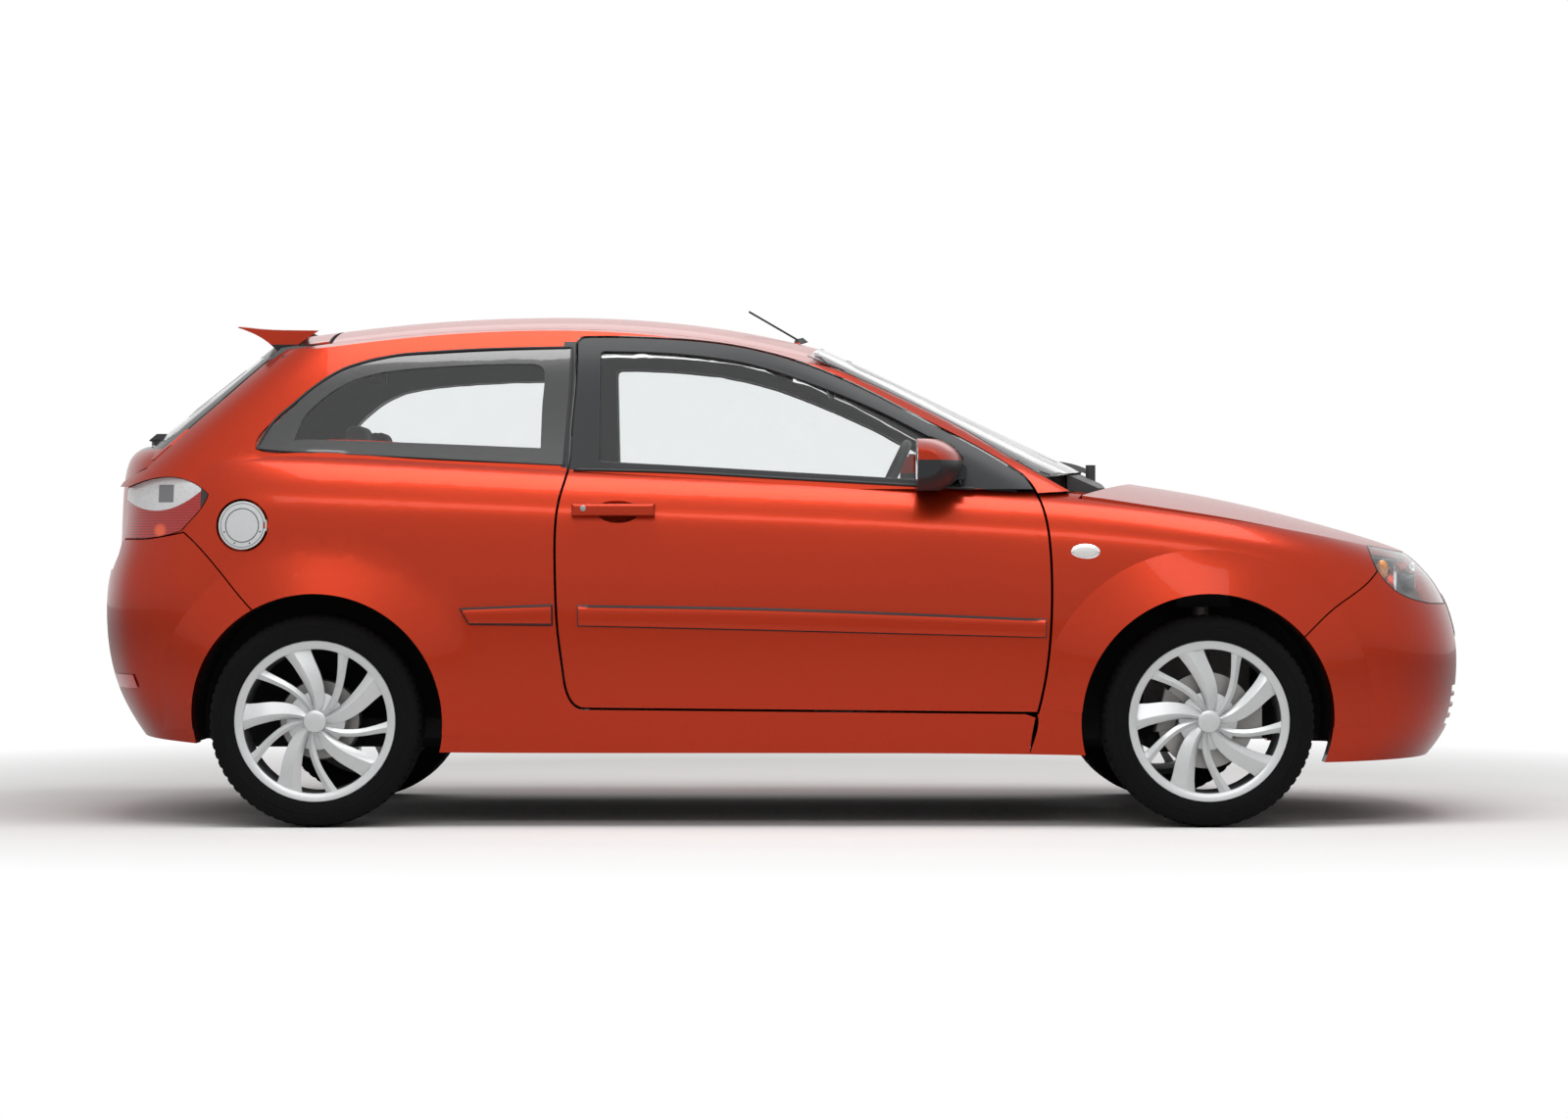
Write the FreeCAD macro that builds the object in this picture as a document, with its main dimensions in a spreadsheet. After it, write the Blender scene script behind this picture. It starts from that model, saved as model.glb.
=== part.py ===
import FreeCAD, Part
import math
import os
from FreeCAD import Placement, Rotation, Vector

# Three-door hatchback. +X forward, +Y left, +Z up, origin on the ground in the middle of the car.

SIZES = (
    ("wheelbase", 2440),
    ("front_axle", 1160),
    ("wheel_centre", 724),
    ("hub_height", 290),
    ("tyre_radius", 290),
    ("tyre_width", 195),
    ("bead_radius", 205),
    ("tyre_shoulder", 26),
    ("flange_radius", 221),
    ("rim_width", 176),
    ("rim_wall", 7),
    ("flange_width", 10),
    ("spoke_face", 80),
    ("spoke_depth", 36),
    ("hub_pad_radius", 78),
    ("hub_face", 30),
    ("cap_radius", 32),
    ("hub_shaft_radius", 30),
    ("bearing_inner_offset", 76),
    ("bearing_outer_offset", 38),
    ("bearing_radius", 50),
    ("running_fit", 0.05),
    ("disc_radius", 133),
    ("disc_thickness", 22),
    ("disc_offset", 2),
    ("disc_hat_radius", 75),
    ("drum_radius", 112),
    ("drum_inner_offset", 90),
    ("drum_outer_offset", 40),
    ("stub_radius", 20),
    ("stub_reach", 5),
    ("caliper_reach", 150),
    ("caliper_gap", 3),
    ("steer_foot_offset", 50),
    ("steer_foot_height", 190),
    ("steer_head_offset", 195),
    ("steer_head_height", 770),
    ("strut_radius", 22),
    ("pivot_radius", 10),
    ("arch_radius", 348),
    ("liner_thickness", 8),
    ("liner_depth", 262),
    ("flare_radius", 478),
    ("flare_lift", 27),
    ("wall_thickness", 62),
    ("frame_thickness", 40),
    ("panel_thickness", 22),
    ("glass_thickness", 5),
    ("glass_inset", 3),
    ("shut_gap", 7),
    ("gate_gap", 10),
    ("seam_gap", 4),
    ("hem_half_width", 782),
    ("skirt_half_width", 806),
    ("low_half_width", 822),
    ("middle_half_width", 829),
    ("high_half_width", 826),
    ("below_crease_half_width", 817),
    ("above_crease_half_width", 805),
    ("shoulder_half_width", 780),
    ("belt_half_width", 742),
    ("over_half_width", 702),
    ("hem_front", 1852),
    ("skirt_front", 1918),
    ("low_front", 1932),
    ("middle_front", 1938),
    ("high_front", 1906),
    ("below_crease_front", 1868),
    ("above_crease_front", 1836),
    ("shoulder_front", 1812),
    ("belt_front", 1790),
    ("over_front", 1750),
    ("hem_rear", 1828),
    ("skirt_rear", 1884),
    ("low_rear", 1925),
    ("middle_rear", 1938),
    ("high_rear", 1932),
    ("below_crease_rear", 1893),
    ("above_crease_rear", 1889),
    ("shoulder_rear", 1884),
    ("belt_rear", 1866),
    ("over_rear", 1820),
    ("gate_low_rear", 1896),
    ("roof_half_width", 540),
    ("roof_drop", 58),
    ("bonnet_drop", 75),
    ("floor_height", 228),
    ("floor_thickness", 28),
    ("boot_floor", 400),
    ("bulkhead", 800),
    ("bulkhead_thickness", 25),
    ("bulkhead_top", 862),
    ("seat_riser", -972),
    ("seat_gap", 0.3),
    ("strip_lift", 9),
    ("tower_height", 745),
    ("rail_offset", 355),
    ("door_axis_x", 640),
    ("door_axis_y", 808),
    ("hinge_pin_radius", 4),
    ("hinge_barrel_radius", 7),
    ("hinge_height", 32),
    ("lower_hinge", 460),
    ("upper_hinge", 640),
    ("cowl_gap", 11),
    ("bonnet_axis_x", 800),
    ("bonnet_axis_height", 915),
    ("bonnet_hinge", 600),
    ("gate_axis_x", -1190),
    ("gate_axis_height", 1358),
    ("gate_hinge", 200),
    ("gate_edge", 14),
    ("gate_flange", 24),
    ("spoiler_half_width", 486),
    ("spoiler_drop", 20),
    ("flap_pin_radius", 3),
    ("flap_recess", 40),
    ("engine_start", 1000),
    ("engine_length", 420),
    ("engine_width", 560),
    ("engine_base", 235),
    ("engine_height", 420),
    ("seat_width", 500),
    ("seat_centre", 365),
    ("steering_wheel_radius", 185),
    ("steering_rim_radius", 14),
    ("steering_wheel_x", 270),
    ("steering_wheel_height", 890),
    ("column_radius", 18),
    ("cup_x", -454),
    ("cup_height", 865),
    ("cup_length", 124),
    ("cup_width", 76),
    ("cup_depth", 17),
    ("rest_width", 260),
    ("mirror_reach", 935),
    ("mirror_width", 185),
    ("mirror_rise", 140),
    ("mirror_depth", 127),
    ("mirror_round", 38),
    ("mirror_height", 990),
    ("mirror_face", 362),
    ("aerial_length", 165),
    ("aerial_radius", 3),
    ("flap_radius", 66),
    ("flap_x", -1481),
    ("flap_height", 825),
    ("flap_thickness", 8),
    ("pipe_radius", 22),
    ("silencer_x", -1655),
    ("silencer_height", 285),
    ("silencer_length", 500),
    ("silencer_radius", 60),
    ("tow_eye_y", -300),
    ("tow_eye_height", 304),
    ("tow_eye_radius", 8),
    ("tow_eye_depth", 30),
    ("jack_x", 300),
    ("jack_y", 650),
    ("jack_length", 60),
    ("jack_width", 40),
    ("jack_depth", 8),
    ("cross_front", 1790),
)

# Rings round the lower body, from the hem up to the belt, as (x, height) lines.
RING_HEIGHTS = {
    "hem": ((-1830, 240), (-1500, 215), (-930, 202), (700, 202), (1450, 172), (1850, 180)),
    "skirt": ((-1880, 320), (-1400, 300), (700, 285), (1900, 255)),
    "low": ((-1920, 430), (0, 420), (1900, 370)),
    "middle": ((-1930, 570), (0, 560), (1900, 490)),
    "high": ((-1930, 690), (0, 700), (1200, 660), (1880, 606)),
    "below_crease": ((-1890, 790), (-1500, 870), (-641, 850), (0, 828), (748, 790), (1200, 742), (1860, 672)),
    "above_crease": ((-1890, 930), (-1500, 915), (-641, 882), (0, 860), (748, 823), (1200, 782), (1830, 706)),
    "shoulder": ((-1880, 985), (-1448, 970), (-592, 932), (0, 909), (781, 868), (1346, 798), (1800, 732)),
    "belt": ((-1860, 1042), (-1448, 1022), (-592, 976), (0, 951), (538, 919), (781, 903),
             (1077, 869), (1346, 830), (1615, 775), (1800, 748)),
    "over": ((-1850, 1056), (-1448, 1036), (-592, 990), (0, 965), (538, 933), (781, 917),
             (1077, 883), (1346, 842), (1615, 785), (1800, 756)),
}
RINGS = tuple(RING_HEIGHTS)
# Rings of the upper body: height, windscreen centre, rear glass centre, half-width.
HOUSE_RINGS = (
    (860, 1135, -1960, 776),
    (950, 932, -1930, 743),
    (1050, 718, -1828, 709),
    (1150, 514, -1703, 673),
    (1250, 312, -1577, 634),
    (1340, 116, -1465, 588),
    (1400, -30, -1392, 540),
    (1450, -170, -1330, 480),
)
HOUSE_SLANT = (2.28, 1.60, 1.08)
ROOF_LINE = ((-1560, 1352), (-1420, 1374), (-1268, 1394), (-1100, 1414), (-900, 1430), (-656, 1437),
             (-450, 1432), (-250, 1414), (-80, 1388), (60, 1356), (200, 1318))
BONNET_LINE = ((640, 998), (800, 985), (1014, 952), (1183, 926), (1352, 890), (1521, 846), (1690, 798),
               (1775, 766), (1830, 742), (1900, 705))
PLAN_ACROSS = (0.0, 0.16, 0.32, 0.47, 0.60, 0.71, 0.80)
PLAN_ALONG = (0.86, 0.80, 0.72, 0.60, 0.45, 0.24)
HOUSE_ACROSS = (0.0, 0.22, 0.42, 0.60, 0.75, 0.86, 0.93)
HOUSE_ALONG = (0.82, 0.74, 0.62, 0.46, 0.25)
FRONT_ROUND = (7.0, 3.0)
REAR_ROUND = (9.0, 3.5)
SCREEN_ROUND = (14.0, 2.2)
GLASS_ROUND = (12.0, 2.4)

# Side view outlines as (x, height); each run of points is one smooth curve.
DOOR = (
    ((-572, 1327), (-575, 1189), (-583, 1082), (-590, 975), (-608, 908), (-622, 761), (-620, 654), (-612, 521),
     (-600, 430), (-586, 362), (-572, 340), (-548, 328)),
    ((-548, 328), (690, 316)),
    ((690, 316), (711, 414), (724, 540), (727, 654), (723, 761), (714, 836), (702, 884), (684, 924), (654, 962)),
    ((654, 962), (489, 1062), (381, 1118), (272, 1176), (109, 1252), (-54, 1306), (-163, 1328), (-300, 1342),
     (-435, 1348), (-540, 1348), (-563, 1344), (-572, 1327)),
)
DOOR_GLASS = (
    ((-513, 1290), (-509, 1306), (-490, 1311)),
    ((-490, 1311), (-325, 1306), (-163, 1288), (-54, 1264), (108, 1208), (271, 1139), (352, 1097), (480, 1030)),
    ((480, 1030), (486, 932)),
    ((486, 932), (379, 946), (0, 969), (-271, 985), (-488, 997)),
    ((-488, 997), (-508, 1004), (-511, 1024)),
    ((-511, 1024), (-513, 1290)),
)
QUARTER_GLASS = (
    ((-1455, 1036), (-1453, 1060), (-1411, 1112), (-1357, 1163), (-1302, 1212), (-1248, 1249), (-1194, 1274),
     (-1140, 1291), (-1085, 1301), (-977, 1311), (-814, 1320), (-586, 1325)),
    ((-586, 1325), (-588, 1189), (-596, 1082), (-603, 988)),
    ((-603, 988), (-1077, 1012), (-1346, 1025), (-1440, 1030), (-1455, 1036)),
)
QUARTER_HOLE = (
    ((-1352, 1056), (-1349, 1084), (-1324, 1127), (-1273, 1179), (-1219, 1217), (-1165, 1240), (-1083, 1257),
     (-975, 1267), (-813, 1275), (-690, 1276)),
    ((-690, 1276), (-668, 1272), (-662, 1256)),
    ((-662, 1256), (-668, 1036)),
    ((-668, 1036), (-1010, 1050), (-1300, 1060), (-1352, 1056)),
)
SCREEN = (
    ((722, 957), (598, 1030), (489, 1097), (381, 1153), (272, 1205), (163, 1254), (62, 1298)),
    ((62, 1298), (112, 1336)),
    ((112, 1336), (1150, 1336)),
    ((1150, 1336), (1150, 980)),
    ((1150, 980), (862, 980)),
    ((862, 980), (722, 957)),
)
LAMP = (
    ((1622, 800), (1626, 742), (1640, 700), (1668, 664), (1704, 638), (1745, 622), (1800, 610)),
    ((1800, 610), (2100, 600)),
    ((2100, 600), (2100, 800)),
    ((2100, 800), (1622, 800)),
)
BUMPER = (
    ((2100, 100), (1300, 100)),
    ((1300, 100), (1300, 420)),
    ((1300, 420), (1440, 536), (1509, 597), (1600, 660), (1640, 700)),
    ((1640, 700), (1626, 742)),
    ((1626, 742), (1622, 900)),
    ((1622, 900), (2100, 900)),
    ((2100, 900), (2100, 100)),
)
FENDER = (
    ((600, 930), (600, 330)),
    ((600, 330), (694, 300), (681, 226), (673, 100)),
    ((673, 100), (1700, 100)),
    ((1700, 100), (1700, 900)),
    ((1700, 900), (1010, 958), (800, 952)),
    ((800, 952), (790, 915)),
    ((790, 915), (690, 909)),
    ((690, 909), (655, 930)),
    ((655, 930), (600, 930)),
)
SIDE = (
    ((-2000, 100), (666, 100), (674, 226), (686, 300)),
    ((686, 300), (600, 330)),
    ((600, 330), (600, 1100)),
    ((600, 1100), (-2000, 1100)),
    ((-2000, 1100), (-2000, 100)),
)
PILLARS = (
    ((-2000, 935), (655, 935)),
    ((655, 935), (690, 914)),
    ((690, 914), (786, 920)),
    ((786, 920), (722, 957)),
    ((722, 957), (598, 1030), (489, 1097), (381, 1153), (272, 1205), (163, 1254), (62, 1298)),
    ((62, 1298), (112, 1336)),
    ((112, 1336), (112, 1500)),
    ((112, 1500), (-2000, 1500)),
    ((-2000, 1500), (-2000, 935)),
)
REAR_BUMPER = (
    ((-2100, 100), (-1279, 100)),
    ((-1279, 100), (-1279, 500)),
    ((-1279, 500), (-1467, 609), (-1553, 708), (-1649, 804)),
    ((-1649, 804), (-1700, 795), (-1765, 786)),
    ((-1765, 786), (-2100, 786)),
    ((-2100, 786), (-2100, 100)),
)
TAIL_LAMP = (
    ((-2100, 952), (-1740, 955), (-1687, 958), (-1646, 950), (-1606, 931), (-1580, 910)),
    ((-1580, 910), (-1592, 883), (-1619, 850), (-1655, 812)),
    ((-1655, 812), (-1700, 800), (-1765, 791)),
    ((-1765, 791), (-2100, 791)),
    ((-2100, 791), (-2100, 952)),
)
# Rear view outline of the tailgate, right half, as (y, height).
GATE = ((0, 712), (470, 712), (508, 750), (512, 955), (600, 990), (598, 1050), (560, 1180), (520, 1290),
        (500, 1330), (492, 1480), (0, 1480))
GATE_GLASS = ((0, 1062), (540, 1062), (552, 1078), (520, 1190), (482, 1285), (470, 1300), (0, 1312))
DOOR_STRIP = [(-560, 604), (0, 594), (712, 566), (712, 521), (0, 540), (-560, 553)]
DOME_SHARE = 1.15
SIDE_STRIP = [(-880, 596), (-634, 606), (-634, 554), (-858, 556)]


def build_sheet(doc):
    """Driving dimensions, one named cell each."""
    sheet = doc.addObject("Spreadsheet::Sheet", "Sizes")
    for row, (name, value) in enumerate(SIZES, start=1):
        sheet.set(f"A{row}", name)
        sheet.set(f"B{row}", str(value))
        sheet.setAlias(f"B{row}", name)
    doc.recompute()
    return sheet


def along(points, x):
    """Height at x of a line drawn through a few (x, height) points."""
    if x <= points[0][0]:
        return points[0][1]
    for (x0, z0), (x1, z1) in zip(points, points[1:]):
        if x <= x1:
            return z0 + (z1 - z0) * (x - x0) / (x1 - x0)
    return points[-1][1]


def plan_point(kind, share, reach, half, rounding):
    """Point of a rounded plan outline, at a share of its reach (along) or its half-width (across)."""
    p, q = rounding
    if kind == "across":
        return reach * (1 - share ** q) ** (1 / p), half * share
    return reach * share, half * (1 - share ** p) ** (1 / q)


def stations(across, lengthwise):
    """Stations of half a ring, from the middle of the rear round the right side to the middle of the front."""
    rear = [(-1, "across", share) for share in across] + [(-1, "along", share) for share in lengthwise]
    front = [(1, "along", share) for share in lengthwise[::-1]] + [(1, "across", share) for share in across[::-1]]
    return rear + [(1, "along", 0.0)] + front


BODY_STATIONS = stations(PLAN_ACROSS, PLAN_ALONG)
HOUSE_STATIONS = stations(HOUSE_ACROSS, HOUSE_ALONG)


def full_loop(half):
    """Right half, mirrored left half, and the right half's rear once more, so that both ends can be crossed."""
    mirrored = [Vector(p.x, -p.y, p.z) for p in half[-2::-1]]
    return half + mirrored + half[1:len(half) // 2 + 1]


def body_net(s, inset, gate=False):
    """Poles of the lower body, inset from its outer skin."""
    rings = []
    for name in RINGS:
        half = getattr(s, f"{name}_half_width") - inset
        front = getattr(s, f"{name}_front") - inset
        rear = getattr(s, f"{name}_rear") - inset
        if gate and name in ("low", "middle", "high"):
            rear = s.gate_low_rear - inset
        ring = []
        for end, kind, share in BODY_STATIONS:
            reach, rounding = (front, FRONT_ROUND) if end > 0 else (rear, REAR_ROUND)
            x, y = plan_point(kind, share, reach, half, rounding)
            ring.append(Vector(end * x, -y, along(RING_HEIGHTS[name], end * x)))
        rings.append(full_loop(ring))
    return [list(column) for column in zip(*rings)]


def house_net(inset):
    """Poles of the upper body, inset from its outer skin."""
    to_front, to_rear, to_side = HOUSE_SLANT
    rings = []
    for height, screen, rear_glass, half in HOUSE_RINGS:
        front = screen - inset * to_front
        rear = rear_glass + inset * to_rear
        middle = (front + rear) / 2
        ring = []
        for end, kind, share in HOUSE_STATIONS:
            rounding = SCREEN_ROUND if end > 0 else GLASS_ROUND
            x, y = plan_point(kind, share, (front - rear) / 2, half - inset * to_side, rounding)
            ring.append(Vector(middle + end * x, -y, height))
        rings.append(full_loop(ring))
    return [list(column) for column in zip(*rings)]


def cap_net(line, half, drop, power, inset):
    """Poles of a crowned cap over the centre line, inset downwards."""
    shares = (-1.25, -1.0, -0.85, -0.6, -0.3, 0.0, 0.3, 0.6, 0.85, 1.0, 1.25)
    return [[Vector(x, half * share, z - drop * abs(share) ** power - inset) for share in shares] for x, z in line]


def spline_surface(net):
    """Uniform cubic surface over a net of poles."""
    rows = len(net)
    columns = len(net[0])
    surface = Part.BSplineSurface()
    surface.buildFromPolesMultsKnots(
        net, [4] + [1] * (rows - 4) + [4], [4] + [1] * (columns - 4) + [4],
        list(range(rows - 2)), list(range(columns - 2)), False, False, 3, 3)
    return surface


def wall(outer_net, inner_net, first=None, last=None):
    """Closed solid between two nets, from one station to another."""
    faces = []
    for net in (outer_net, inner_net):
        surface = spline_surface(net)
        if first is not None:
            surface.segment(first, last, 0, len(net[0]) - 3)
        faces.append(surface.toShape())
    sides = [Part.makeRuledSurface(a, b) for a, b in zip(faces[0].Edges, faces[1].Edges)]
    shell = Part.makeShell(faces + sides)
    shell.sewShape()
    solid = Part.Solid(shell)
    if solid.Volume < 0:
        solid.reverse()
    return solid


def body_wall(s, outer, inner, first, last, gate=False):
    return wall(body_net(s, outer, gate), body_net(s, inner, gate), first, last)


def body_core(s, inset):
    """Closed solid of all that lies inside the lower body's walls."""
    net = body_net(s, inset)[:len(BODY_STATIONS)]
    opposite = [[Vector(p.x, -p.y, p.z) for p in column] for column in net]
    return wall(net, opposite, 0.4, len(net) - 3.4)


def house_wall(outer, inner, first, last):
    return wall(house_net(outer), house_net(inner), first, last)


def roof_slab(s, outer, inner):
    return wall(cap_net(ROOF_LINE, s.roof_half_width, s.roof_drop, 2.2, outer),
                cap_net(ROOF_LINE, s.roof_half_width, s.roof_drop, 2.2, inner))


def bonnet_slab(s, outer, inner):
    return wall(cap_net(BONNET_LINE, s.belt_half_width, s.bonnet_drop, 2.0, outer),
                cap_net(BONNET_LINE, s.belt_half_width, s.bonnet_drop, 2.0, inner))


def grown(runs, grow):
    """An outline's runs moved outwards by a distance, corner by corner."""
    if not grow:
        return runs
    loop = [point for run in runs for point in run[:-1]]
    area = sum(a[0] * b[1] - b[0] * a[1] for a, b in zip(loop, loop[1:] + loop[:1]))
    turn = 1 if area > 0 else -1
    moved = []
    for before, here, after in zip(loop[-1:] + loop[:-1], loop, loop[1:] + loop[:1]):
        normals = []
        for a, b in ((before, here), (here, after)):
            length = math.hypot(b[0] - a[0], b[1] - a[1])
            normals.append((turn * (b[1] - a[1]) / length, -turn * (b[0] - a[0]) / length))
        (ax, az), (bx, bz) = normals
        scale = grow / (1 + ax * bx + az * bz)
        moved.append((here[0] + (ax + bx) * scale, here[1] + (az + bz) * scale))
    result = []
    start = 0
    for run in runs:
        count = len(run) - 1
        result.append([moved[(start + i) % len(moved)] for i in range(count + 1)])
        start += count
    return result


def outline_face(runs, place):
    """Flat face bounded by an outline, each point put in space by a function."""
    edges = []
    for run in runs:
        points = [place(a, b) for a, b in run]
        if len(points) == 2:
            edges.append(Part.LineSegment(*points).toShape())
        else:
            curve = Part.BSplineCurve()
            curve.interpolate(points)
            edges.append(curve.toShape())
    return Part.Face(Part.Wire(edges))


def side_prism(runs, grow=0, near=-1000, far=1000):
    """Prism over a side view outline."""
    face = outline_face(grown(runs, grow), lambda x, z: Vector(x, near, z))
    return face.extrude(Vector(0, far - near, 0))


def straight(points):
    """Runs of straight lines round a closed list of points."""
    return [[a, b] for a, b in zip(points, points[1:] + points[:1])]


def rear_prism(half_points, grow=0, start=-2200, end=-1000):
    """Prism over a rear view outline, given by its right half."""
    points = [(y, z) for y, z in half_points] + [(-y, z) for y, z in half_points[::-1] if y]
    face = outline_face(grown(straight(points), grow), lambda y, z: Vector(start, y, z))
    return face.extrude(Vector(end - start, 0, 0))


def box(x0, x1, y0, y1, z0, z1):
    return Part.makeBox(x1 - x0, y1 - y0, z1 - z0, Vector(x0, y0, z0))


def cylinder(radius, start, direction, length):
    return Part.makeCylinder(radius, length, Vector(*start), Vector(*direction))


def mirrored(shape):
    return shape.mirror(Vector(0, 0, 0), Vector(0, 1, 0))


def biggest(shape):
    """The largest solid, without the crumbs that a cut leaves."""
    return max(shape.Solids, key=lambda solid: solid.Volume)


def fused(*shapes):
    result = shapes[0].multiFuse(list(shapes[1:]))
    return result.removeSplitter()


class Sizes:
    """The sheet's cells as plain numbers, with the places that follow from them."""

    def __init__(self, sheet):
        for name, _ in SIZES:
            setattr(self, name, float(sheet.get(name)))
        self.rear_axle = self.front_axle - self.wheelbase
        self.bearing_inner = self.wheel_centre - self.bearing_inner_offset
        self.bearing_outer = self.wheel_centre - self.bearing_outer_offset
        self.disc_face = self.wheel_centre - self.disc_offset
        self.drum_inner = self.wheel_centre - self.drum_inner_offset
        self.drum_outer = self.wheel_centre - self.drum_outer_offset
        self.stub_end = self.wheel_centre + self.stub_reach
        self.steer_foot = self.wheel_centre - self.steer_foot_offset
        self.steer_head = self.wheel_centre - self.steer_head_offset


def arch_tool(s, axle, radius):
    """Round opening over one right wheel."""
    return cylinder(radius, (axle, -1000, s.hub_height), (0, 1, 0), 1000 - s.wheel_centre + s.liner_depth)


def side_at(surface, x, z, guess):
    """Parameters of the surface point that a line across the car meets at (x, z)."""
    u, v = guess
    for _ in range(12):
        point = surface.value(u, v)
        du = surface.value(u + 0.01, v) - point
        dv = surface.value(u, v + 0.01) - point
        det = du.x * dv.z - dv.x * du.z
        ex, ez = x - point.x, z - point.z
        u += 0.01 * max(-50, min(50, (ex * dv.z - ez * dv.x) / det))
        v += 0.01 * max(-50, min(50, (ez * du.x - ex * du.z) / det))
    return u, v


def flare(s, axle, first_angle, last_angle):
    """Raised band round one right arch: proud at the lip, flush with the side at its outer edge."""
    surface = spline_surface(body_net(s, 0))
    bands = (s.arch_radius - 12, s.arch_radius + 20, s.arch_radius + 60, s.arch_radius + 95, s.flare_radius,
             s.flare_radius + 16)
    outer, inner = [], []
    guess = (14.0, 2.0) if axle > 0 else (9.0, 2.0)
    steps = 22
    for step in range(steps + 1):
        share = step / steps
        angle = math.radians(first_angle + (last_angle - first_angle) * share)
        fade = math.sin(math.pi * (0.12 + 0.76 * share)) ** 0.6
        rows = [[], []]
        for radius in bands:
            x = axle + radius * math.cos(angle)
            z = s.hub_height + radius * math.sin(angle)
            guess = side_at(surface, x, z, guess)
            y = surface.value(*guess).y
            rise = (s.flare_radius - radius) / (s.flare_radius - s.arch_radius)
            lift = s.flare_lift * fade * math.copysign(abs(rise) ** 1.15, rise)
            rows[0].append(Vector(x, y - lift, z))
            rows[1].append(Vector(x, y + s.wall_thickness / 2, z))
        outer.append(rows[0])
        inner.append(rows[1])
    band = wall(outer, inner)
    return band.cut(arch_tool(s, axle, s.arch_radius))


def rub_strip(s, points, first, last):
    """Protective strip on the side, along a side view outline."""
    band = body_wall(s, -s.strip_lift, s.strip_lift, first, last)
    return band.common(side_prism(straight(points), 0, -1000, -600))


def bonnet_plan(s, inset, behind=0):
    """Plan prism of the bonnet between the cowl line and the leading edge."""
    points = []
    for end, kind, share in BODY_STATIONS[14:]:
        x, y = plan_point(kind, share, s.belt_front - inset, s.belt_half_width - inset, FRONT_ROUND)
        points.append((x, -y))
    side = [(x, y) for x, y in points if x > 850]
    right = [(808 + behind, side[0][1] + 6)] + side
    left = [(x, -y) for x, y in right[-2::-1]]
    cowl = [left[-1], (925 + behind, 420), (985 + behind, 160), (985 + behind, -160), (925 + behind, -420), right[0]]
    face = outline_face([right + left, cowl], lambda x, y: Vector(x, y, 500))
    return face.extrude(Vector(0, 0, 700))


def bonnet(s):
    shape = bonnet_slab(s, 0, s.panel_thickness).common(bonnet_plan(s, s.shut_gap, s.cowl_gap))
    lug = bonnet_lug(s)
    return biggest(shape.multiFuse([lug, mirrored(lug)]))


def under_bonnet(s, drop):
    """Everything that the bonnet and its swing need free."""
    return bonnet_slab(s, -120, s.panel_thickness + drop).common(bonnet_plan(s, 0))


def fender(s, door_hole):
    skin = body_wall(s, 0, s.wall_thickness, 12.2, 21)
    shape = skin.fuse(flare(s, s.front_axle, -3, 176)).common(side_prism(FENDER))
    shape = shape.cut(arch_tool(s, s.front_axle, s.arch_radius))
    shape = shape.cut(door_hole)
    for outline in (BUMPER, LAMP):
        shape = shape.cut(side_prism(outline, s.seam_gap, -1000, 0))
    shape = shape.cut(under_bonnet(s, 25))
    return biggest(shape)


def headlamp(s):
    """Lamp with a hidden lip behind its lens, seated in the bumper's cut-out."""
    lens = body_wall(s, 1, 95, 18, 26).common(side_prism(LAMP))
    lip = body_wall(s, 30, 50, 18, 26).common(side_prism(LAMP, s.seam_gap / 2 - s.seat_gap))
    shape = lens.fuse(lip).common(box(1500, 2000, -800, -372, 500, 900))
    return biggest(shape.cut(under_bonnet(s, s.seam_gap)))


def headlamp_tool(s):
    return side_prism(LAMP, s.seam_gap / 2, -1000, -370)


def front_bumper(s):
    skin = body_wall(s, 0, s.wall_thickness, 15.5, 34.5)
    band = flare(s, s.front_axle, -3, 176)
    shape = skin.multiFuse([band, mirrored(band)]).common(side_prism(BUMPER))
    for tool in (headlamp_tool(s), arch_tool(s, s.front_axle, s.arch_radius)):
        shape = shape.cut(tool).cut(mirrored(tool))
    shape = shape.cut(under_bonnet(s, s.seam_gap))
    openings = [box(1500, 2000, -330, 330, 640, 664), box(1500, 2000, -330, 330, 676, 700)]
    for height in (262, 293, 324, 355):
        openings.append(box(1500, 2000, -430, 430, height, height + 22))
    for opening in openings:
        shape = shape.cut(opening)
    return biggest(shape)


def door_hole(s):
    return side_prism(DOOR, s.shut_gap, -1000, -500)


def door(s):
    lower = body_wall(s, 0, s.wall_thickness, 7, 17).common(side_prism(DOOR, 0, -1000, -500))
    upper = house_wall(0, s.frame_thickness, 3, 21).common(side_prism(DOOR, 0, -1000, -300))
    upper = upper.common(box(-1000, 1000, -1000, 0, 925, 1500))
    shape = lower.fuse(upper).cut(handle_cup(s))
    shape = shape.cut(side_prism(DOOR_GLASS, 0, -1000, -300))
    for height in (s.lower_hinge, s.upper_hinge):
        shape = shape.cut(door_pocket(s, height))
        reach = s.hinge_height / 2 + 14
        pin = cylinder(s.hinge_pin_radius, (s.door_axis_x, -s.door_axis_y, height - reach), (0, 0, 1), 2 * reach)
        shape = shape.fuse(pin)
    return biggest(shape.fuse(rub_strip(s, DOOR_STRIP, 7, 17)))


def door_glass(s):
    pane = house_wall(8, 8 + s.glass_thickness, 3, 21)
    return biggest(pane.common(side_prism(DOOR_GLASS, 0, -1000, -300)))


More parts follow.
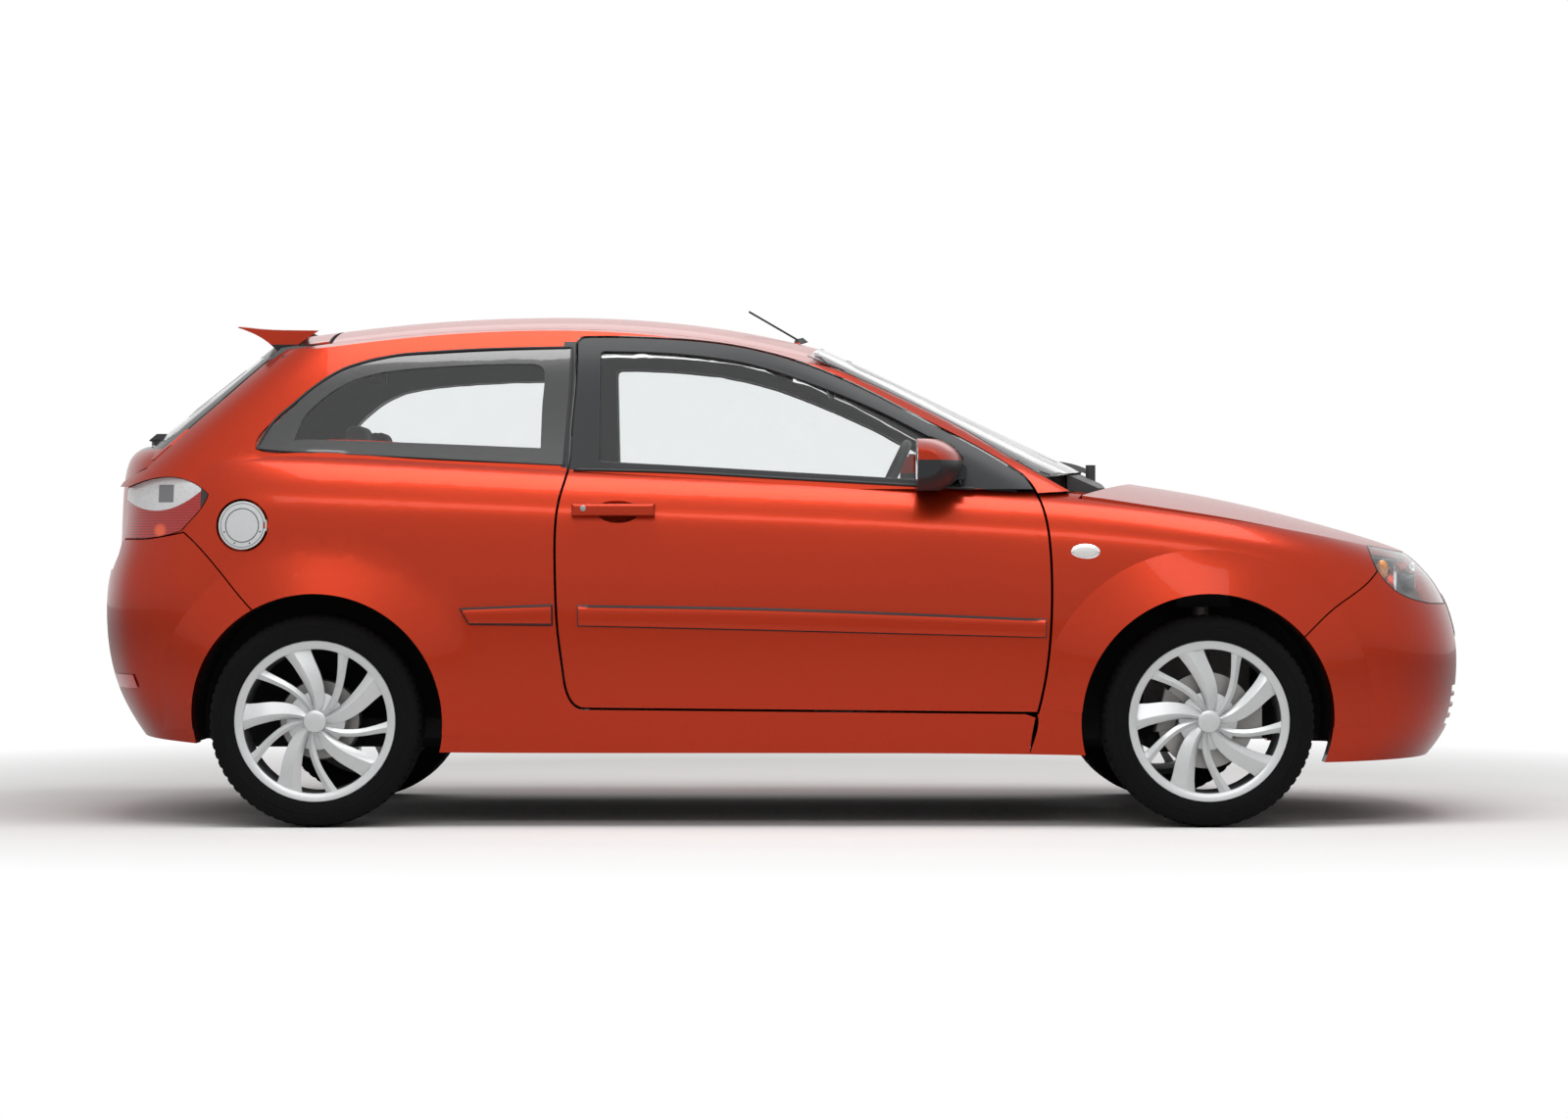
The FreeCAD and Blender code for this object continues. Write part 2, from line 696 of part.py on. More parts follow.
def body_side(s, hole):
    lower = body_wall(s, 0, s.wall_thickness, 3, 15).common(side_prism(SIDE, 0, -1000, 0))
    upper = house_wall(0, s.wall_thickness, 1, 22).common(side_prism(PILLARS, 0, -1000, 0))
    shape = lower.fuse(upper)
    shape = shape.fuse(flare(s, s.rear_axle, -6, 184))
    shape = shape.cut(arch_tool(s, s.rear_axle, s.arch_radius))
    shape = shape.cut(hole)
    rebate = house_wall(-30, s.glass_inset + s.glass_thickness, 1, 22)
    shape = shape.cut(rebate.common(side_prism(QUARTER_GLASS, 0, -1000, 0)))
    shape = shape.cut(side_prism(QUARTER_HOLE, 0, -1000, 0))
    shape = shape.cut(side_prism(REAR_BUMPER, s.seam_gap, -1000, 0))
    shape = shape.cut(side_prism(TAIL_LAMP, s.seam_gap / 2, -1000, 0))
    shape = shape.cut(rear_prism(GATE, s.gate_gap))
    shape = shape.cut(roof_slab(s, -120, s.panel_thickness).common(
        box(-2000, 400, -s.roof_half_width - 1, s.roof_half_width + 1, 1200, 1600)))
    shape = shape.cut(roof_slab(s, -150, 0)).cut(under_bonnet(s, 12))
    return biggest(shape.fuse(rub_strip(s, SIDE_STRIP, 3, 12)))


def quarter_glass(s):
    pane = house_wall(s.glass_inset, s.glass_inset + s.glass_thickness, 1, 22)
    return biggest(pane.common(side_prism(QUARTER_GLASS, -1.5, -1000, 0)))


def windscreen(s):
    pane = house_wall(s.glass_inset, s.glass_inset + s.glass_thickness, 15, 33)
    return biggest(pane.common(side_prism(SCREEN, -1)))


def roof(s):
    shape = roof_slab(s, 0, s.panel_thickness)
    shape = shape.common(box(-1262, 400, -s.roof_half_width + 1, s.roof_half_width - 1, 1200, 1600))
    shape = shape.cut(house_wall(-200, 0, 15, 33))
    shape = shape.cut(house_wall(-200, s.glass_inset + s.glass_thickness + 1, 15, 33).common(side_prism(SCREEN, 1)))
    hole = door_hole(s)
    shape = shape.cut(hole).cut(mirrored(hole))
    eye = gate_eye(s).cut(roof_slab(s, -150, s.panel_thickness / 2))
    return biggest(shape.multiFuse([eye, mirrored(eye), aerial(s)]))


def gate_shell(s, skin, depth, outline):
    """Lower panel, glass frame and roof end of the tailgate, between two depths."""
    middle = 2 * (len(BODY_STATIONS) - 1) - 1
    lower = body_wall(s, skin, depth + 10, middle - 7, middle + 7, True).common(box(-2100, -1690, -700, 700, 700, 1050))
    centre = 2 * (len(HOUSE_STATIONS) - 1) - 1
    upper = house_wall(skin, depth, centre - 7, centre + 7).common(box(-2000, -1100, -700, 700, 1010, 1380))
    top = roof_slab(s, skin, depth).common(box(-1560, -1268, -700, 700, 1200, 1500))
    top = top.cut(house_wall(-200, 0, centre - 7, centre + 7))
    return lower.multiFuse([upper.cut(roof_slab(s, -150, 0)), top]).common(outline)


def tailgate(s):
    """Tailgate with a thin edge, a narrower inner frame, the spoiler and two hinge arms."""
    skin = gate_shell(s, 0, s.gate_edge, rear_prism(GATE))
    frame = gate_shell(s, s.gate_edge / 2, s.frame_thickness, rear_prism(GATE, -s.gate_flange))
    shape = skin.fuse(frame)
    shape = shape.cut(rear_prism(GATE_GLASS, 0, -2200, -1300))
    swing = cylinder(86, (s.gate_axis_x, -700, s.gate_axis_height), (0, 1, 0), 1400)
    arm = gate_arm(s)
    shape = shape.cut(swing).multiFuse([spoiler(s), arm, mirrored(arm)])
    return biggest(shape)


def tailgate_glass(s):
    centre = 2 * (len(HOUSE_STATIONS) - 1) - 1
    pane = house_wall(2, 2 + s.glass_thickness, centre - 7, centre + 7)
    return biggest(pane.common(rear_prism(GATE_GLASS, 0, -2200, -1300)))


def spoiler(s):
    """Upswept lip over the rear glass, with a hollow curve below its rear edge and a fin at each end."""
    top = ((-1532, 1401), (-1512, 1399), (-1480, 1395), (-1437, 1392), (-1380, 1391), (-1330, 1391), (-1270, 1390))
    foot = ((-1532, 1398), (-1508, 1391), (-1467, 1373), (-1432, 1344), (-1405, 1315), (-1372, 1286), (-1270, 1262))
    shape = wall(cap_net(top, s.roof_half_width, s.spoiler_drop, 2.2, 0),
                 cap_net(foot, s.roof_half_width, s.spoiler_drop, 2.2, 0))
    shape = shape.common(box(-1600, -1288, -s.spoiler_half_width, s.spoiler_half_width, 1200, 1500))
    centre = 2 * (len(HOUSE_STATIONS) - 1) - 1
    inside = house_wall(s.frame_thickness / 2, 500, centre - 7, centre + 7)
    return biggest(shape.cut(inside).cut(roof_slab(s, s.frame_thickness / 2, 200)))


def rear_bumper(s):
    middle = 2 * (len(BODY_STATIONS) - 1) - 1
    skin = body_wall(s, 0, s.wall_thickness, middle - 11, middle + 11)
    tool = arch_tool(s, s.rear_axle, s.arch_radius)
    band = flare(s, s.rear_axle, -6, 184)
    shape = skin.multiFuse([band, mirrored(band)]).common(side_prism(REAR_BUMPER))
    shape = shape.cut(tool).cut(mirrored(tool))
    shape = shape.cut(rear_prism([(0, 704), (480, 704), (518, 745), (522, 1200), (0, 1200)], 0))
    return biggest(shape)


def tail_lamp(s):
    """Lens on a wider housing that sits in the body side's cut-out."""
    lens = body_wall(s, -2, 20, 2, 12).common(side_prism(TAIL_LAMP, 0, -1000, 0))
    housing = body_wall(s, 20, s.wall_thickness, 2, 12).common(
        side_prism(TAIL_LAMP, s.seam_gap / 2 - s.seat_gap, -1000, 0))
    return biggest(lens.fuse(housing).cut(rear_prism(GATE, s.gate_gap)))


def steer_line(s, height):
    """Distance of the steering axis from the middle of the car at a height."""
    share = (height - s.steer_foot_height) / (s.steer_head_height - s.steer_foot_height)
    return s.steer_foot + (s.steer_head - s.steer_foot) * share


def steer_tool(s, radius, low, high):
    """Cylinder on the right steering axis between two heights."""
    foot = Vector(s.front_axle, -steer_line(s, low), low)
    head = Vector(s.front_axle, -steer_line(s, high), high)
    return Part.makeCylinder(radius, (head - foot).Length, foot, head - foot)


def ring(outer, inner, start, length, x, z):
    """Ring about a line across the car, from y = start towards the left."""
    shape = cylinder(outer, (x, start, z), (0, 1, 0), length)
    return shape.cut(cylinder(inner, (x, start - 1, z), (0, 1, 0), length + 2))


def spoke(end_angle, sweep, widths, s):
    """One swirling spoke in the wheel's plane, from the hub to the barrel."""
    radii = (34, 80, 130, 175, s.bead_radius - s.rim_wall / 2)
    left, right = [], []
    for radius, width in zip(radii, widths):
        share = (radius - radii[0]) / (radii[-1] - radii[0])
        angle = math.radians(end_angle - sweep * (1 - share) ** 1.4)
        across = Vector(-math.sin(angle), 0, math.cos(angle))
        middle = Vector(radius * math.cos(angle), 0, radius * math.sin(angle))
        left.append(middle + across * width / 2)
        right.append(middle - across * width / 2)
    edges = []
    for points in (left, right[::-1]):
        curve = Part.BSplineCurve()
        curve.interpolate(points)
        edges.append(curve.toShape())
    edges.insert(1, Part.LineSegment(left[-1], right[-1]).toShape())
    edges.append(Part.LineSegment(right[0], left[0]).toShape())
    face = Part.Face(Part.Wire(edges))
    face.translate(Vector(0, -s.spoke_face, 0))
    return face.extrude(Vector(0, s.spoke_depth, 0))


def rim(s, front):
    """Alloy wheel with its brake disc or drum, about the origin, outer face towards -Y."""
    half = s.rim_width / 2
    barrel = ring(s.bead_radius, s.bead_radius - s.rim_wall, -half, s.rim_width, 0, 0)
    pieces = [barrel]
    for start in (-half, half - s.flange_width):
        pieces.append(ring(s.flange_radius, s.bead_radius - s.rim_wall, start, s.flange_width, 0, 0))
    pieces.append(cylinder(s.hub_pad_radius, (0, -s.hub_face - 30, 0), (0, 1, 0), 30))
    pieces.append(cylinder(s.cap_radius, (0, -s.spoke_face, 0), (0, 1, 0), s.spoke_face - s.hub_face))
    for k in range(5):
        pieces.append(spoke(105 + 72 * k, 26, (30, 34, 40, 50, 74), s))
        pieces.append(spoke(67.5 + 72 * k, 30, (16, 16, 17, 20, 26), s))
    start = s.wheel_centre - s.hub_face
    if front:
        face = s.disc_face - s.wheel_centre
        pieces.append(cylinder(s.disc_radius, (0, -face - s.disc_thickness, 0), (0, 1, 0), s.disc_thickness))
        pieces.append(cylinder(s.disc_hat_radius, (0, -s.hub_face, 0), (0, 1, 0), s.hub_face - face))
        shaft = s.wheel_centre - s.bearing_inner + s.hub_face
        pieces.append(cylinder(s.hub_shaft_radius, (0, -s.hub_face, 0), (0, 1, 0), shaft))
        shape = fused(*pieces)
    else:
        inner = s.wheel_centre - s.drum_inner
        outer = s.wheel_centre - s.drum_outer
        pieces.append(cylinder(s.drum_radius, (0, outer, 0), (0, 1, 0), inner - outer))
        pieces.append(cylinder(s.hub_pad_radius - 18, (0, -s.hub_face, 0), (0, 1, 0), s.hub_face + outer))
        bore = s.stub_end - s.drum_inner + s.caliper_gap
        shape = fused(*pieces).cut(
            cylinder(s.stub_radius + s.running_fit, (0, inner - bore, 0), (0, 1, 0), bore + 1))
    return shape


def knuckle(s):
    """Right steering knuckle with strut tube and caliper."""
    x, z = s.front_axle, s.hub_height
    carrier = cylinder(s.bearing_radius, (x, -s.bearing_outer, z), (0, 1, 0), s.bearing_outer - s.bearing_inner)
    foot = box(x - 24, x + 24, -s.bearing_outer, -s.bearing_inner, s.steer_foot_height + 16, z)
    neck = box(x - 24, x + 24, -s.bearing_outer + 10, -steer_line(s, 400) + 10, z, 400)
    strut = steer_tool(s, s.strut_radius, 345, 690)
    pins = [steer_tool(s, s.pivot_radius, s.steer_foot_height - 24, s.steer_foot_height + 40),
            steer_tool(s, s.pivot_radius, 680, s.steer_head_height)]
    near = s.disc_face + s.disc_thickness + s.caliper_gap
    caliper = box(x + 78, x + s.caliper_reach, -near - 8, -s.disc_face + s.caliper_gap + 26, z - 50, z + 42)
    slot = cylinder(s.disc_radius + s.caliper_gap, (x, -near, z), (0, 1, 0), s.disc_thickness + 2 * s.caliper_gap)
    caliper = caliper.cut(slot)
    bracket = box(x + 20, x + 110, -s.disc_face + s.caliper_gap, -s.disc_face + s.caliper_gap + 22, z - 34, z + 26)
    arm = box(x + 20, x + 60, -s.bearing_outer, -s.bearing_inner - 12, z - 30, z + 22)
    link = box(x + 30, x + 60, -s.disc_face + s.caliper_gap, -s.bearing_outer + 12, z - 30, z + 22)
    shape = fused(carrier, foot, neck, strut, *pins, caliper, bracket, arm, link)
    bore = cylinder(s.hub_shaft_radius + s.running_fit, (x, -s.bearing_outer - 60, z), (0, 1, 0), 120)
    return biggest(shape.cut(bore))


def hinge_post(s):
    """Pillar at the bulkhead's right edge that carries the door's hinges."""
    return box(748, s.bulkhead + 1, -722, -640, s.floor_height, s.bulkhead_top)


def jack_pad(s):
    """Flat pad under the right edge of the floor, where a jack lifts the car."""
    return box(s.jack_x - s.jack_length / 2, s.jack_x + s.jack_length / 2, -s.jack_y - s.jack_width / 2,
               -s.jack_y + s.jack_width / 2, s.floor_height - s.jack_depth, s.floor_height + s.floor_thickness)


def hinge_eyes(s):
    """Arms and eyes of the right door's two hinges."""
    x, y, half = s.door_axis_x, -s.door_axis_y, s.hinge_height / 2
    pieces = []
    for height in (s.lower_hinge, s.upper_hinge):
        pieces.append(box(x - s.hinge_barrel_radius, 750, -722, -700, height - half, height + half))
        pieces.append(box(x - s.hinge_barrel_radius, x + s.hinge_barrel_radius, y, -700, height - half,
                          height + half))
        pieces.append(cylinder(s.hinge_barrel_radius, (x, y, height - half), (0, 0, 1), s.hinge_height))
    hole = cylinder(s.hinge_pin_radius + s.running_fit, (x, y, 0), (0, 0, 1), 1000)
    return [piece.cut(hole) for piece in pieces]


def door_pocket(s, height):
    """Room in the door's front edge for one hinge."""
    reach = s.hinge_height / 2 + 12
    return box(s.door_axis_x - 24, 800, -s.door_axis_y - s.hinge_barrel_radius - 2.5, -500, height - reach,
               height + reach)


def bonnet_eye(s):
    x, z = s.bonnet_axis_x, s.bonnet_axis_height
    radius = s.hinge_barrel_radius
    stem = box(x - radius, x + radius, -s.bonnet_hinge - 18, -s.bonnet_hinge - 4, s.bulkhead_top - 20, z)
    eye = stem.fuse(cylinder(radius, (x, -s.bonnet_hinge - 18, z), (0, 1, 0), 14))
    return eye.cut(cylinder(s.hinge_pin_radius + s.running_fit, (x, -s.bonnet_hinge - 30, z), (0, 1, 0), 60))


def bonnet_lug(s):
    """Right hinge lug under the bonnet with its pin."""
    x, z = s.bonnet_axis_x, s.bonnet_axis_height
    lug = box(x - s.hinge_pin_radius - 1, x + 126, -s.bonnet_hinge - 3, -s.bonnet_hinge + 8, z - 8, z + 42)
    lug = lug.cut(bonnet_slab(s, -120, s.panel_thickness / 2))
    return lug.fuse(cylinder(s.hinge_pin_radius, (x, -s.bonnet_hinge - 18, z), (0, 1, 0), 20))


def gate_arm(s):
    """Right gooseneck arm of the tailgate, curving under the roof's rear edge."""
    x, z = s.gate_axis_x, s.gate_axis_height
    y = -s.gate_hinge
    hook = ring(108, 90, y - 6, 12, x, z).common(box(x - 120, x - 6, y - 6, y + 6, z - 120, z + 14))
    stem = box(x - 10, x + 8, y - 6, y + 6, z - 106, z + 8)
    pin = cylinder(s.hinge_pin_radius, (x, y - 22, z), (0, 1, 0), 22)
    return fused(hook, stem, pin)


def gate_eye(s):
    """Right eye under the roof for the tailgate's pin."""
    x, z = s.gate_axis_x, s.gate_axis_height
    y = -s.gate_hinge
    eye = box(x - 9, x + 9, y - 22, y - 7, z - 10, z + 30)
    return eye.cut(cylinder(s.hinge_pin_radius + s.running_fit, (x, y - 40, z), (0, 1, 0), 60))


def floor_pan(s):
    """Floor, wheel liners, bulkhead, front rails, strut towers and lower arms in one welded piece."""
    top = s.floor_height + s.floor_thickness
    floor = box(s.seat_riser, s.bulkhead + s.bulkhead_thickness, -800, 800, s.floor_height, top)
    boot = box(-1880, s.seat_riser + 12, -800, 800, s.boot_floor, s.boot_floor + 12)
    riser = box(s.seat_riser, s.seat_riser + 12, -800, 800, top - 1, s.boot_floor + 12)
    bulkhead = box(s.bulkhead, s.bulkhead + s.bulkhead_thickness, -800, 800, s.floor_height, s.bulkhead_top)
    shape = fused(floor, boot, riser, bulkhead)
    inner_y = s.wheel_centre - s.liner_depth
    for axle in (s.front_axle, s.rear_axle):
        for side in (-1, 1):
            start = -900 if side < 0 else inner_y
            well = cylinder(s.arch_radius + s.liner_thickness - 1, (axle, start, s.hub_height), (0, 1, 0),
                            900 - inner_y)
            shape = shape.cut(well)
    for axle in (s.front_axle, s.rear_axle):
        for side in (-1, 1):
            start = -800 if side < 0 else inner_y
            liner = ring(s.arch_radius + s.liner_thickness, s.arch_radius, start, 800 - inner_y, axle, s.hub_height)
            plate_y = -inner_y if side < 0 else inner_y - s.liner_thickness
            plate = cylinder(s.arch_radius + s.liner_thickness, (axle, plate_y, s.hub_height), (0, 1, 0),
                             s.liner_thickness)
            if axle == s.front_axle:
                plate = plate.cut(box(axle - 150, axle + 150, -1000, 1000, 0, 520))
            else:
                plate = plate.cut(box(axle + 155, axle + 265, -1000, 1000, 0, s.hub_height + 15))
            piece = liner.fuse(plate).common(box(-2000, 2000, -900, 900, s.floor_height, 1000))
            shape = shape.fuse(piece)
    for side in (-1, 1):
        rail = box(s.bulkhead, s.cross_front, -s.rail_offset - 25, -s.rail_offset + 25, s.engine_base,
                   s.engine_base + 70)
        tower = box(s.front_axle - 75, s.front_axle + 75, -640, -inner_y, 600, s.tower_height)
        apron = box(s.bulkhead, 1500, -inner_y, -inner_y + s.liner_thickness, 560, s.tower_height)
        arm = box(s.front_axle - 26, s.front_axle + 26, -s.steer_foot - 4, -200, s.steer_foot_height - 24,
                  s.steer_foot_height)
        group = fused(rail, arm)
        upper = fused(tower, apron)
        upper = upper.cut(steer_tool(s, s.strut_radius + 30, 400, 722))
        if side > 0:
            group, upper = mirrored(group), mirrored(upper)
        shape = shape.multiFuse([group, upper])
        shape = shape.fuse(hinge_post(s) if side < 0 else mirrored(hinge_post(s)))
    beam = box(1050, 1300, -s.rail_offset - 25, s.rail_offset + 25, s.steer_foot_height - 24, s.engine_base)
    cross = box(s.cross_front - 40, s.cross_front, -560, 560, s.engine_base, 560)
    post = box(s.cross_front, 1900, -500, 500, 440, 540)
    shape = shape.multiFuse([beam, cross, post])
    socket = cylinder(s.tow_eye_radius, (s.cross_front - s.tow_eye_depth, s.tow_eye_y, s.tow_eye_height), (1, 0, 0),
                      s.tow_eye_depth)
    shape = shape.cut(socket)
    for side in (-1, 1):
        tools = [steer_tool(s, s.pivot_radius + s.running_fit, 100, 800),
                 steer_tool(s, s.strut_radius + 16, 400, 722)]
        for tool in tools:
            shape = shape.cut(tool if side < 0 else mirrored(tool))
    added = hinge_eyes(s) + [bonnet_eye(s), jack_pad(s)]
    shape = shape.common(body_core(s, s.wall_thickness))
    return biggest(shape.multiFuse(added + [mirrored(piece) for piece in added]))


def rear_beam(s):
    """Twist beam with its arms, hub plates and stub pins."""
    x, z = s.rear_axle, s.hub_height
    low, high = z - 50, z
    inner, outer = s.drum_inner - 75, s.drum_inner - 20
    front = x + math.sqrt(s.arch_radius ** 2 - (z - low) ** 2) - s.seat_gap
    pieces = [box(x + 170, x + 250, -inner - 1, inner + 1, low, high)]
    for side in (-1, 1):
        near, far = sorted((side * inner, side * outer))
        pieces.append(box(x - 60, front, near, far, low, high))
        pieces.append(box(x - 60, x + 60, near, far, low, z + 62))
        start = -s.stub_end if side < 0 else inner
        pieces.append(cylinder(s.stub_radius, (x, start, z), (0, 1, 0), s.stub_end - inner))
    return fused(*pieces)


def dashboard(s):
    front = s.bulkhead - s.seat_gap
    profile = [(front, 640), (front, 878), (700, 878), (700, 935), (560, 945), (430, 925), (392, 880), (400, 780),
               (470, 700), (600, 640)]
    shape = side_prism(straight(profile), 0, -615, 615)
    shape = shape.cut(box(560, 820, -1000, -505, 800, 1000)).cut(box(560, 820, 505, 1000, 800, 1000))
    base = s.floor_height + s.floor_thickness + s.seat_gap
    shape = shape.fuse(box(420, front, -130, 130, base, 700))
    column = column_tool(s, s.column_radius + s.running_fit, 60, 330)
    return shape.cut(column)


def column_tool(s, radius, start, length):
    """Cylinder on the steering column, from a distance in front of the wheel's middle."""
    lean = math.radians(25)
    way = Vector(math.cos(lean), 0, -math.sin(lean))
    base = Vector(s.steering_wheel_x, -s.seat_centre, s.steering_wheel_height) + way * start
    return Part.makeCylinder(radius, length, base, way)


def steering_wheel(s):
    lean = math.radians(25)
    way = Vector(math.cos(lean), 0, -math.sin(lean))
    centre = Vector(s.steering_wheel_x, -s.seat_centre, s.steering_wheel_height)
    rim_shape = Part.makeTorus(s.steering_wheel_radius, s.steering_rim_radius, centre, way)
    hub = Part.makeCylinder(55, 45, centre - way * 5, way)
    shaft = column_tool(s, s.column_radius, 20, 300)
    up = Vector(math.sin(lean), 0, math.cos(lean))
    pieces = [rim_shape, hub, shaft]
    for angle in (0, 180, 270):
        ray = Vector(0, 1, 0) * math.cos(math.radians(angle)) + up * math.sin(math.radians(angle))
        bar = Part.makeBox(s.steering_wheel_radius, 34, 14, Vector(0, -17, 0))
        side = way.cross(ray)
        matrix = FreeCAD.Matrix(ray.x, side.x, way.x, centre.x, ray.y, side.y, way.y, centre.y,
                                ray.z, side.z, way.z, centre.z, 0, 0, 0, 1)
        pieces.append(bar.transformed(matrix))
    return fused(*pieces)


def seat(s):
    """Right front seat: base, cushion, reclined back and head rest."""
    top = s.floor_height + s.floor_thickness + s.seat_gap
    profile = [(80, top), (90, 330), (140, 400), (130, 470), (0, 455), (-300, 430), (-560, 900), (-600, 918),
               (-660, 905), (-668, 870), (-440, 370), (-360, 320), (-340, top)]
    rest = [(-572, 900), (-600, 930), (-594, 1080), (-610, 1108), (-650, 1112), (-676, 1090), (-690, 960),
            (-660, 895)]
    return side_prism(straight(profile), 0, -s.seat_centre - s.seat_width / 2, -s.seat_centre + s.seat_width / 2).fuse(
        side_prism(straight(rest), 0, -s.seat_centre - s.rest_width / 2, -s.seat_centre + s.rest_width / 2))


def rear_seat(s):
    """Bench between the wheel housings, its wider back above them, and two head rests."""
    top = s.floor_height + s.floor_thickness + s.seat_gap
    shelf = s.boot_floor + 12 + s.seat_gap
    foot = s.seat_riser + 12 + s.seat_gap
    profile = [(-640, top), (-620, 440), (-650, 470), (-1000, 430), (-1120, 700), (-1180, 960), (-1230, 975),
               (-1268, 955), (-1240, 800), (-1160, 500), (-1140, shelf), (foot, shelf), (foot, top)]
    back = [(-1115, 690), (-1180, 960), (-1230, 975), (-1268, 955), (-1240, 800), (-1212, 690)]
    bench = side_prism(straight(profile), 0, -445, 445)
    rests = [box(-1255, -1150, y - 130, y + 130, 930, 1130) for y in (-300, 300)]
    return fused(bench, side_prism(straight(back), 0, -590, 590), *rests)


def wiper(s, pivot, tip):
    """Arm and blade just above the windscreen, from a pivot to a tip in plan, kept on the glass."""
    layer = house_wall(-14, -1, 15, 33)
    reach = Vector(tip[0] - pivot[0], tip[1] - pivot[1], 0)
    turn = math.degrees(math.atan2(reach.y, reach.x))
    bar = Part.makeBox(reach.Length, 14, 600, Vector(0, -7, 0))
    bar.rotate(Vector(0, 0, 0), Vector(0, 0, 1), turn)
    bar.translate(Vector(pivot[0], pivot[1], 800))
    return biggest(bar.common(layer))


def cowl(s):
    """Scuttle panel between bonnet and windscreen, with the two wipers lying on the glass."""
    flat = fused(box(705, 792, -445, 445, 885, 922), box(790, 985, -560, 560, 885, 922))
    raised = fused(box(705, 792, -445, 445, 900, 985), box(790, 900, -560, 560, 900, 985))
    shape = fused(flat, raised)
    shape = shape.cut(house_wall(-300, s.glass_inset + s.glass_thickness + s.seat_gap, 12, 36))
    shape = shape.cut(under_bonnet(s, 18))
    pieces = []
    for y, tip in ((-330, (800, 250)), (240, (820, 520))):
        pivot = (872, y)
        pieces.append(cylinder(14, (pivot[0], pivot[1], 905), (0, 0, 1), 95).cut(under_bonnet(s, 18)))
        pieces.append(wiper(s, pivot, tip))
    return biggest(shape.multiFuse(pieces))


def ellipsoid(centre, radii):
    matrix = FreeCAD.Matrix()
    matrix.scale(Vector(*radii))
    matrix.move(Vector(*centre))
    return Part.makeSphere(1).transformGeometry(matrix)


def mirror_shell(s):
    """Shell of the right mirror: a rounded block, domed towards its tip and its front, flat where the glass sits."""
    root = s.mirror_width - s.mirror_reach
    front = s.mirror_face + s.mirror_depth
    low, high = s.mirror_height - s.mirror_rise / 2, s.mirror_height + s.mirror_rise / 2
    block = box(s.mirror_face, front, -s.mirror_reach, root, low, high)
    edges = [edge for edge in block.Edges if edge.Length < s.mirror_width and min(v.Y for v in edge.Vertexes) < root]
    block = block.makeFillet(s.mirror_round, [edge for edge in edges if abs(edge.BoundBox.XLength) > 1])
    dome = ellipsoid((s.mirror_face, root, s.mirror_height),
                     (s.mirror_depth, s.mirror_width * DOME_SHARE, s.mirror_rise * DOME_SHARE / 2))
    return block.common(dome)


def mirror(s):
    """Right door mirror on its foot at the front of the door window."""
    y1 = -s.mirror_reach + s.mirror_width
    foot = box(425, 500, y1 - 40, -600, 950, 992)
    foot = foot.makeFillet(14, [edge for edge in foot.Edges if abs(edge.Vertexes[0].Y - edge.Vertexes[-1].Y) > 1])
    shape = fused(mirror_shell(s), foot)
    inside = house_wall(0, 300, 8, 21).fuse(body_wall(s, 0, 300, 7, 17))
    return biggest(shape.cut(inside))


def handle(s):
    bar = box(-578, -352, -843, -700, 850, 884)
    bar = bar.makeFillet(9, [edge for edge in bar.Edges if max(v.Y for v in edge.Vertexes) < -842])
    return biggest(bar.cut(body_wall(s, 0, 400, 7, 17)))


def handle_cup(s):
    """Hollow in the door's skin behind the handle, for the fingers."""
    surface = spline_surface(body_net(s, 0))
    y = surface.value(*side_at(surface, s.cup_x, s.cup_height, (11.0, 6.0))).y
    return ellipsoid((s.cup_x, y, s.cup_height), (s.cup_length / 2, s.cup_depth, s.cup_width / 2))


def flap_tool(s, radius, near, far):
    return cylinder(radius, (s.flap_x, near, s.flap_height), (0, 1, 0), far - near)


def flap_axis(s):
    """Place of the flap's upright hinge axis, at its front edge just under the skin."""
    surface = spline_surface(body_net(s, 0))
    x = s.flap_x + s.flap_radius
    return x, surface.value(*side_at(surface, x, s.flap_height, (5.0, 5.0))).y + 1


def flap_barrel(s, radius, half):
    """Upright cylinder on the flap's hinge axis."""
    x, y = flap_axis(s)
    return cylinder(radius, (x, y, s.flap_height - half), (0, 0, 1), 2 * half)


def fuel_flap(s):
    """Lid with a pin at its front edge, notched for the eye."""
    lid = body_wall(s, -1, s.flap_thickness, 3, 12).common(flap_tool(s, s.flap_radius, -1000, -600))
    lid = lid.cut(flap_barrel(s, 2.5 * s.flap_pin_radius, 9))
    return biggest(lid.fuse(flap_barrel(s, s.flap_pin_radius, 15)))


def flap_recess(s):
    """Round recess for the flap, less the eye that holds its pin."""
    x, y = flap_axis(s)
    recess = body_wall(s, -40, s.flap_recess, 3, 12).common(
        flap_tool(s, s.flap_radius + s.shut_gap, -1000, -600))
    link = box(x, x + 20, y - 3, y + 3, s.flap_height - 8, s.flap_height + 8)
    eye = flap_barrel(s, 2 * s.flap_pin_radius, 8).fuse(link)
    return recess.cut(eye.cut(flap_barrel(s, s.flap_pin_radius + s.running_fit, 20)))


def aerial(s):
    foot = Part.makeCone(24, 12, 16, Vector(48, 0, 1362), Vector(-0.25, 0, 1))
    rod = Part.makeCylinder(s.aerial_radius, s.aerial_length, Vector(40, 0, 1374), Vector(-143, 0, 83))
    shape = fused(foot, rod)
    return biggest(shape.cut(roof_slab(s, 8, 80)))


def rear_wiper(s):
    """Wiper across the foot of the rear glass."""
    glass = 2 * (len(HOUSE_STATIONS) - 1) - 1
    layer = house_wall(-16, 2 - s.seat_gap, glass - 7, glass + 7)
    blade = layer.common(box(-2000, -1700, -430, 60, 1070, 1086))
    return biggest(blade)


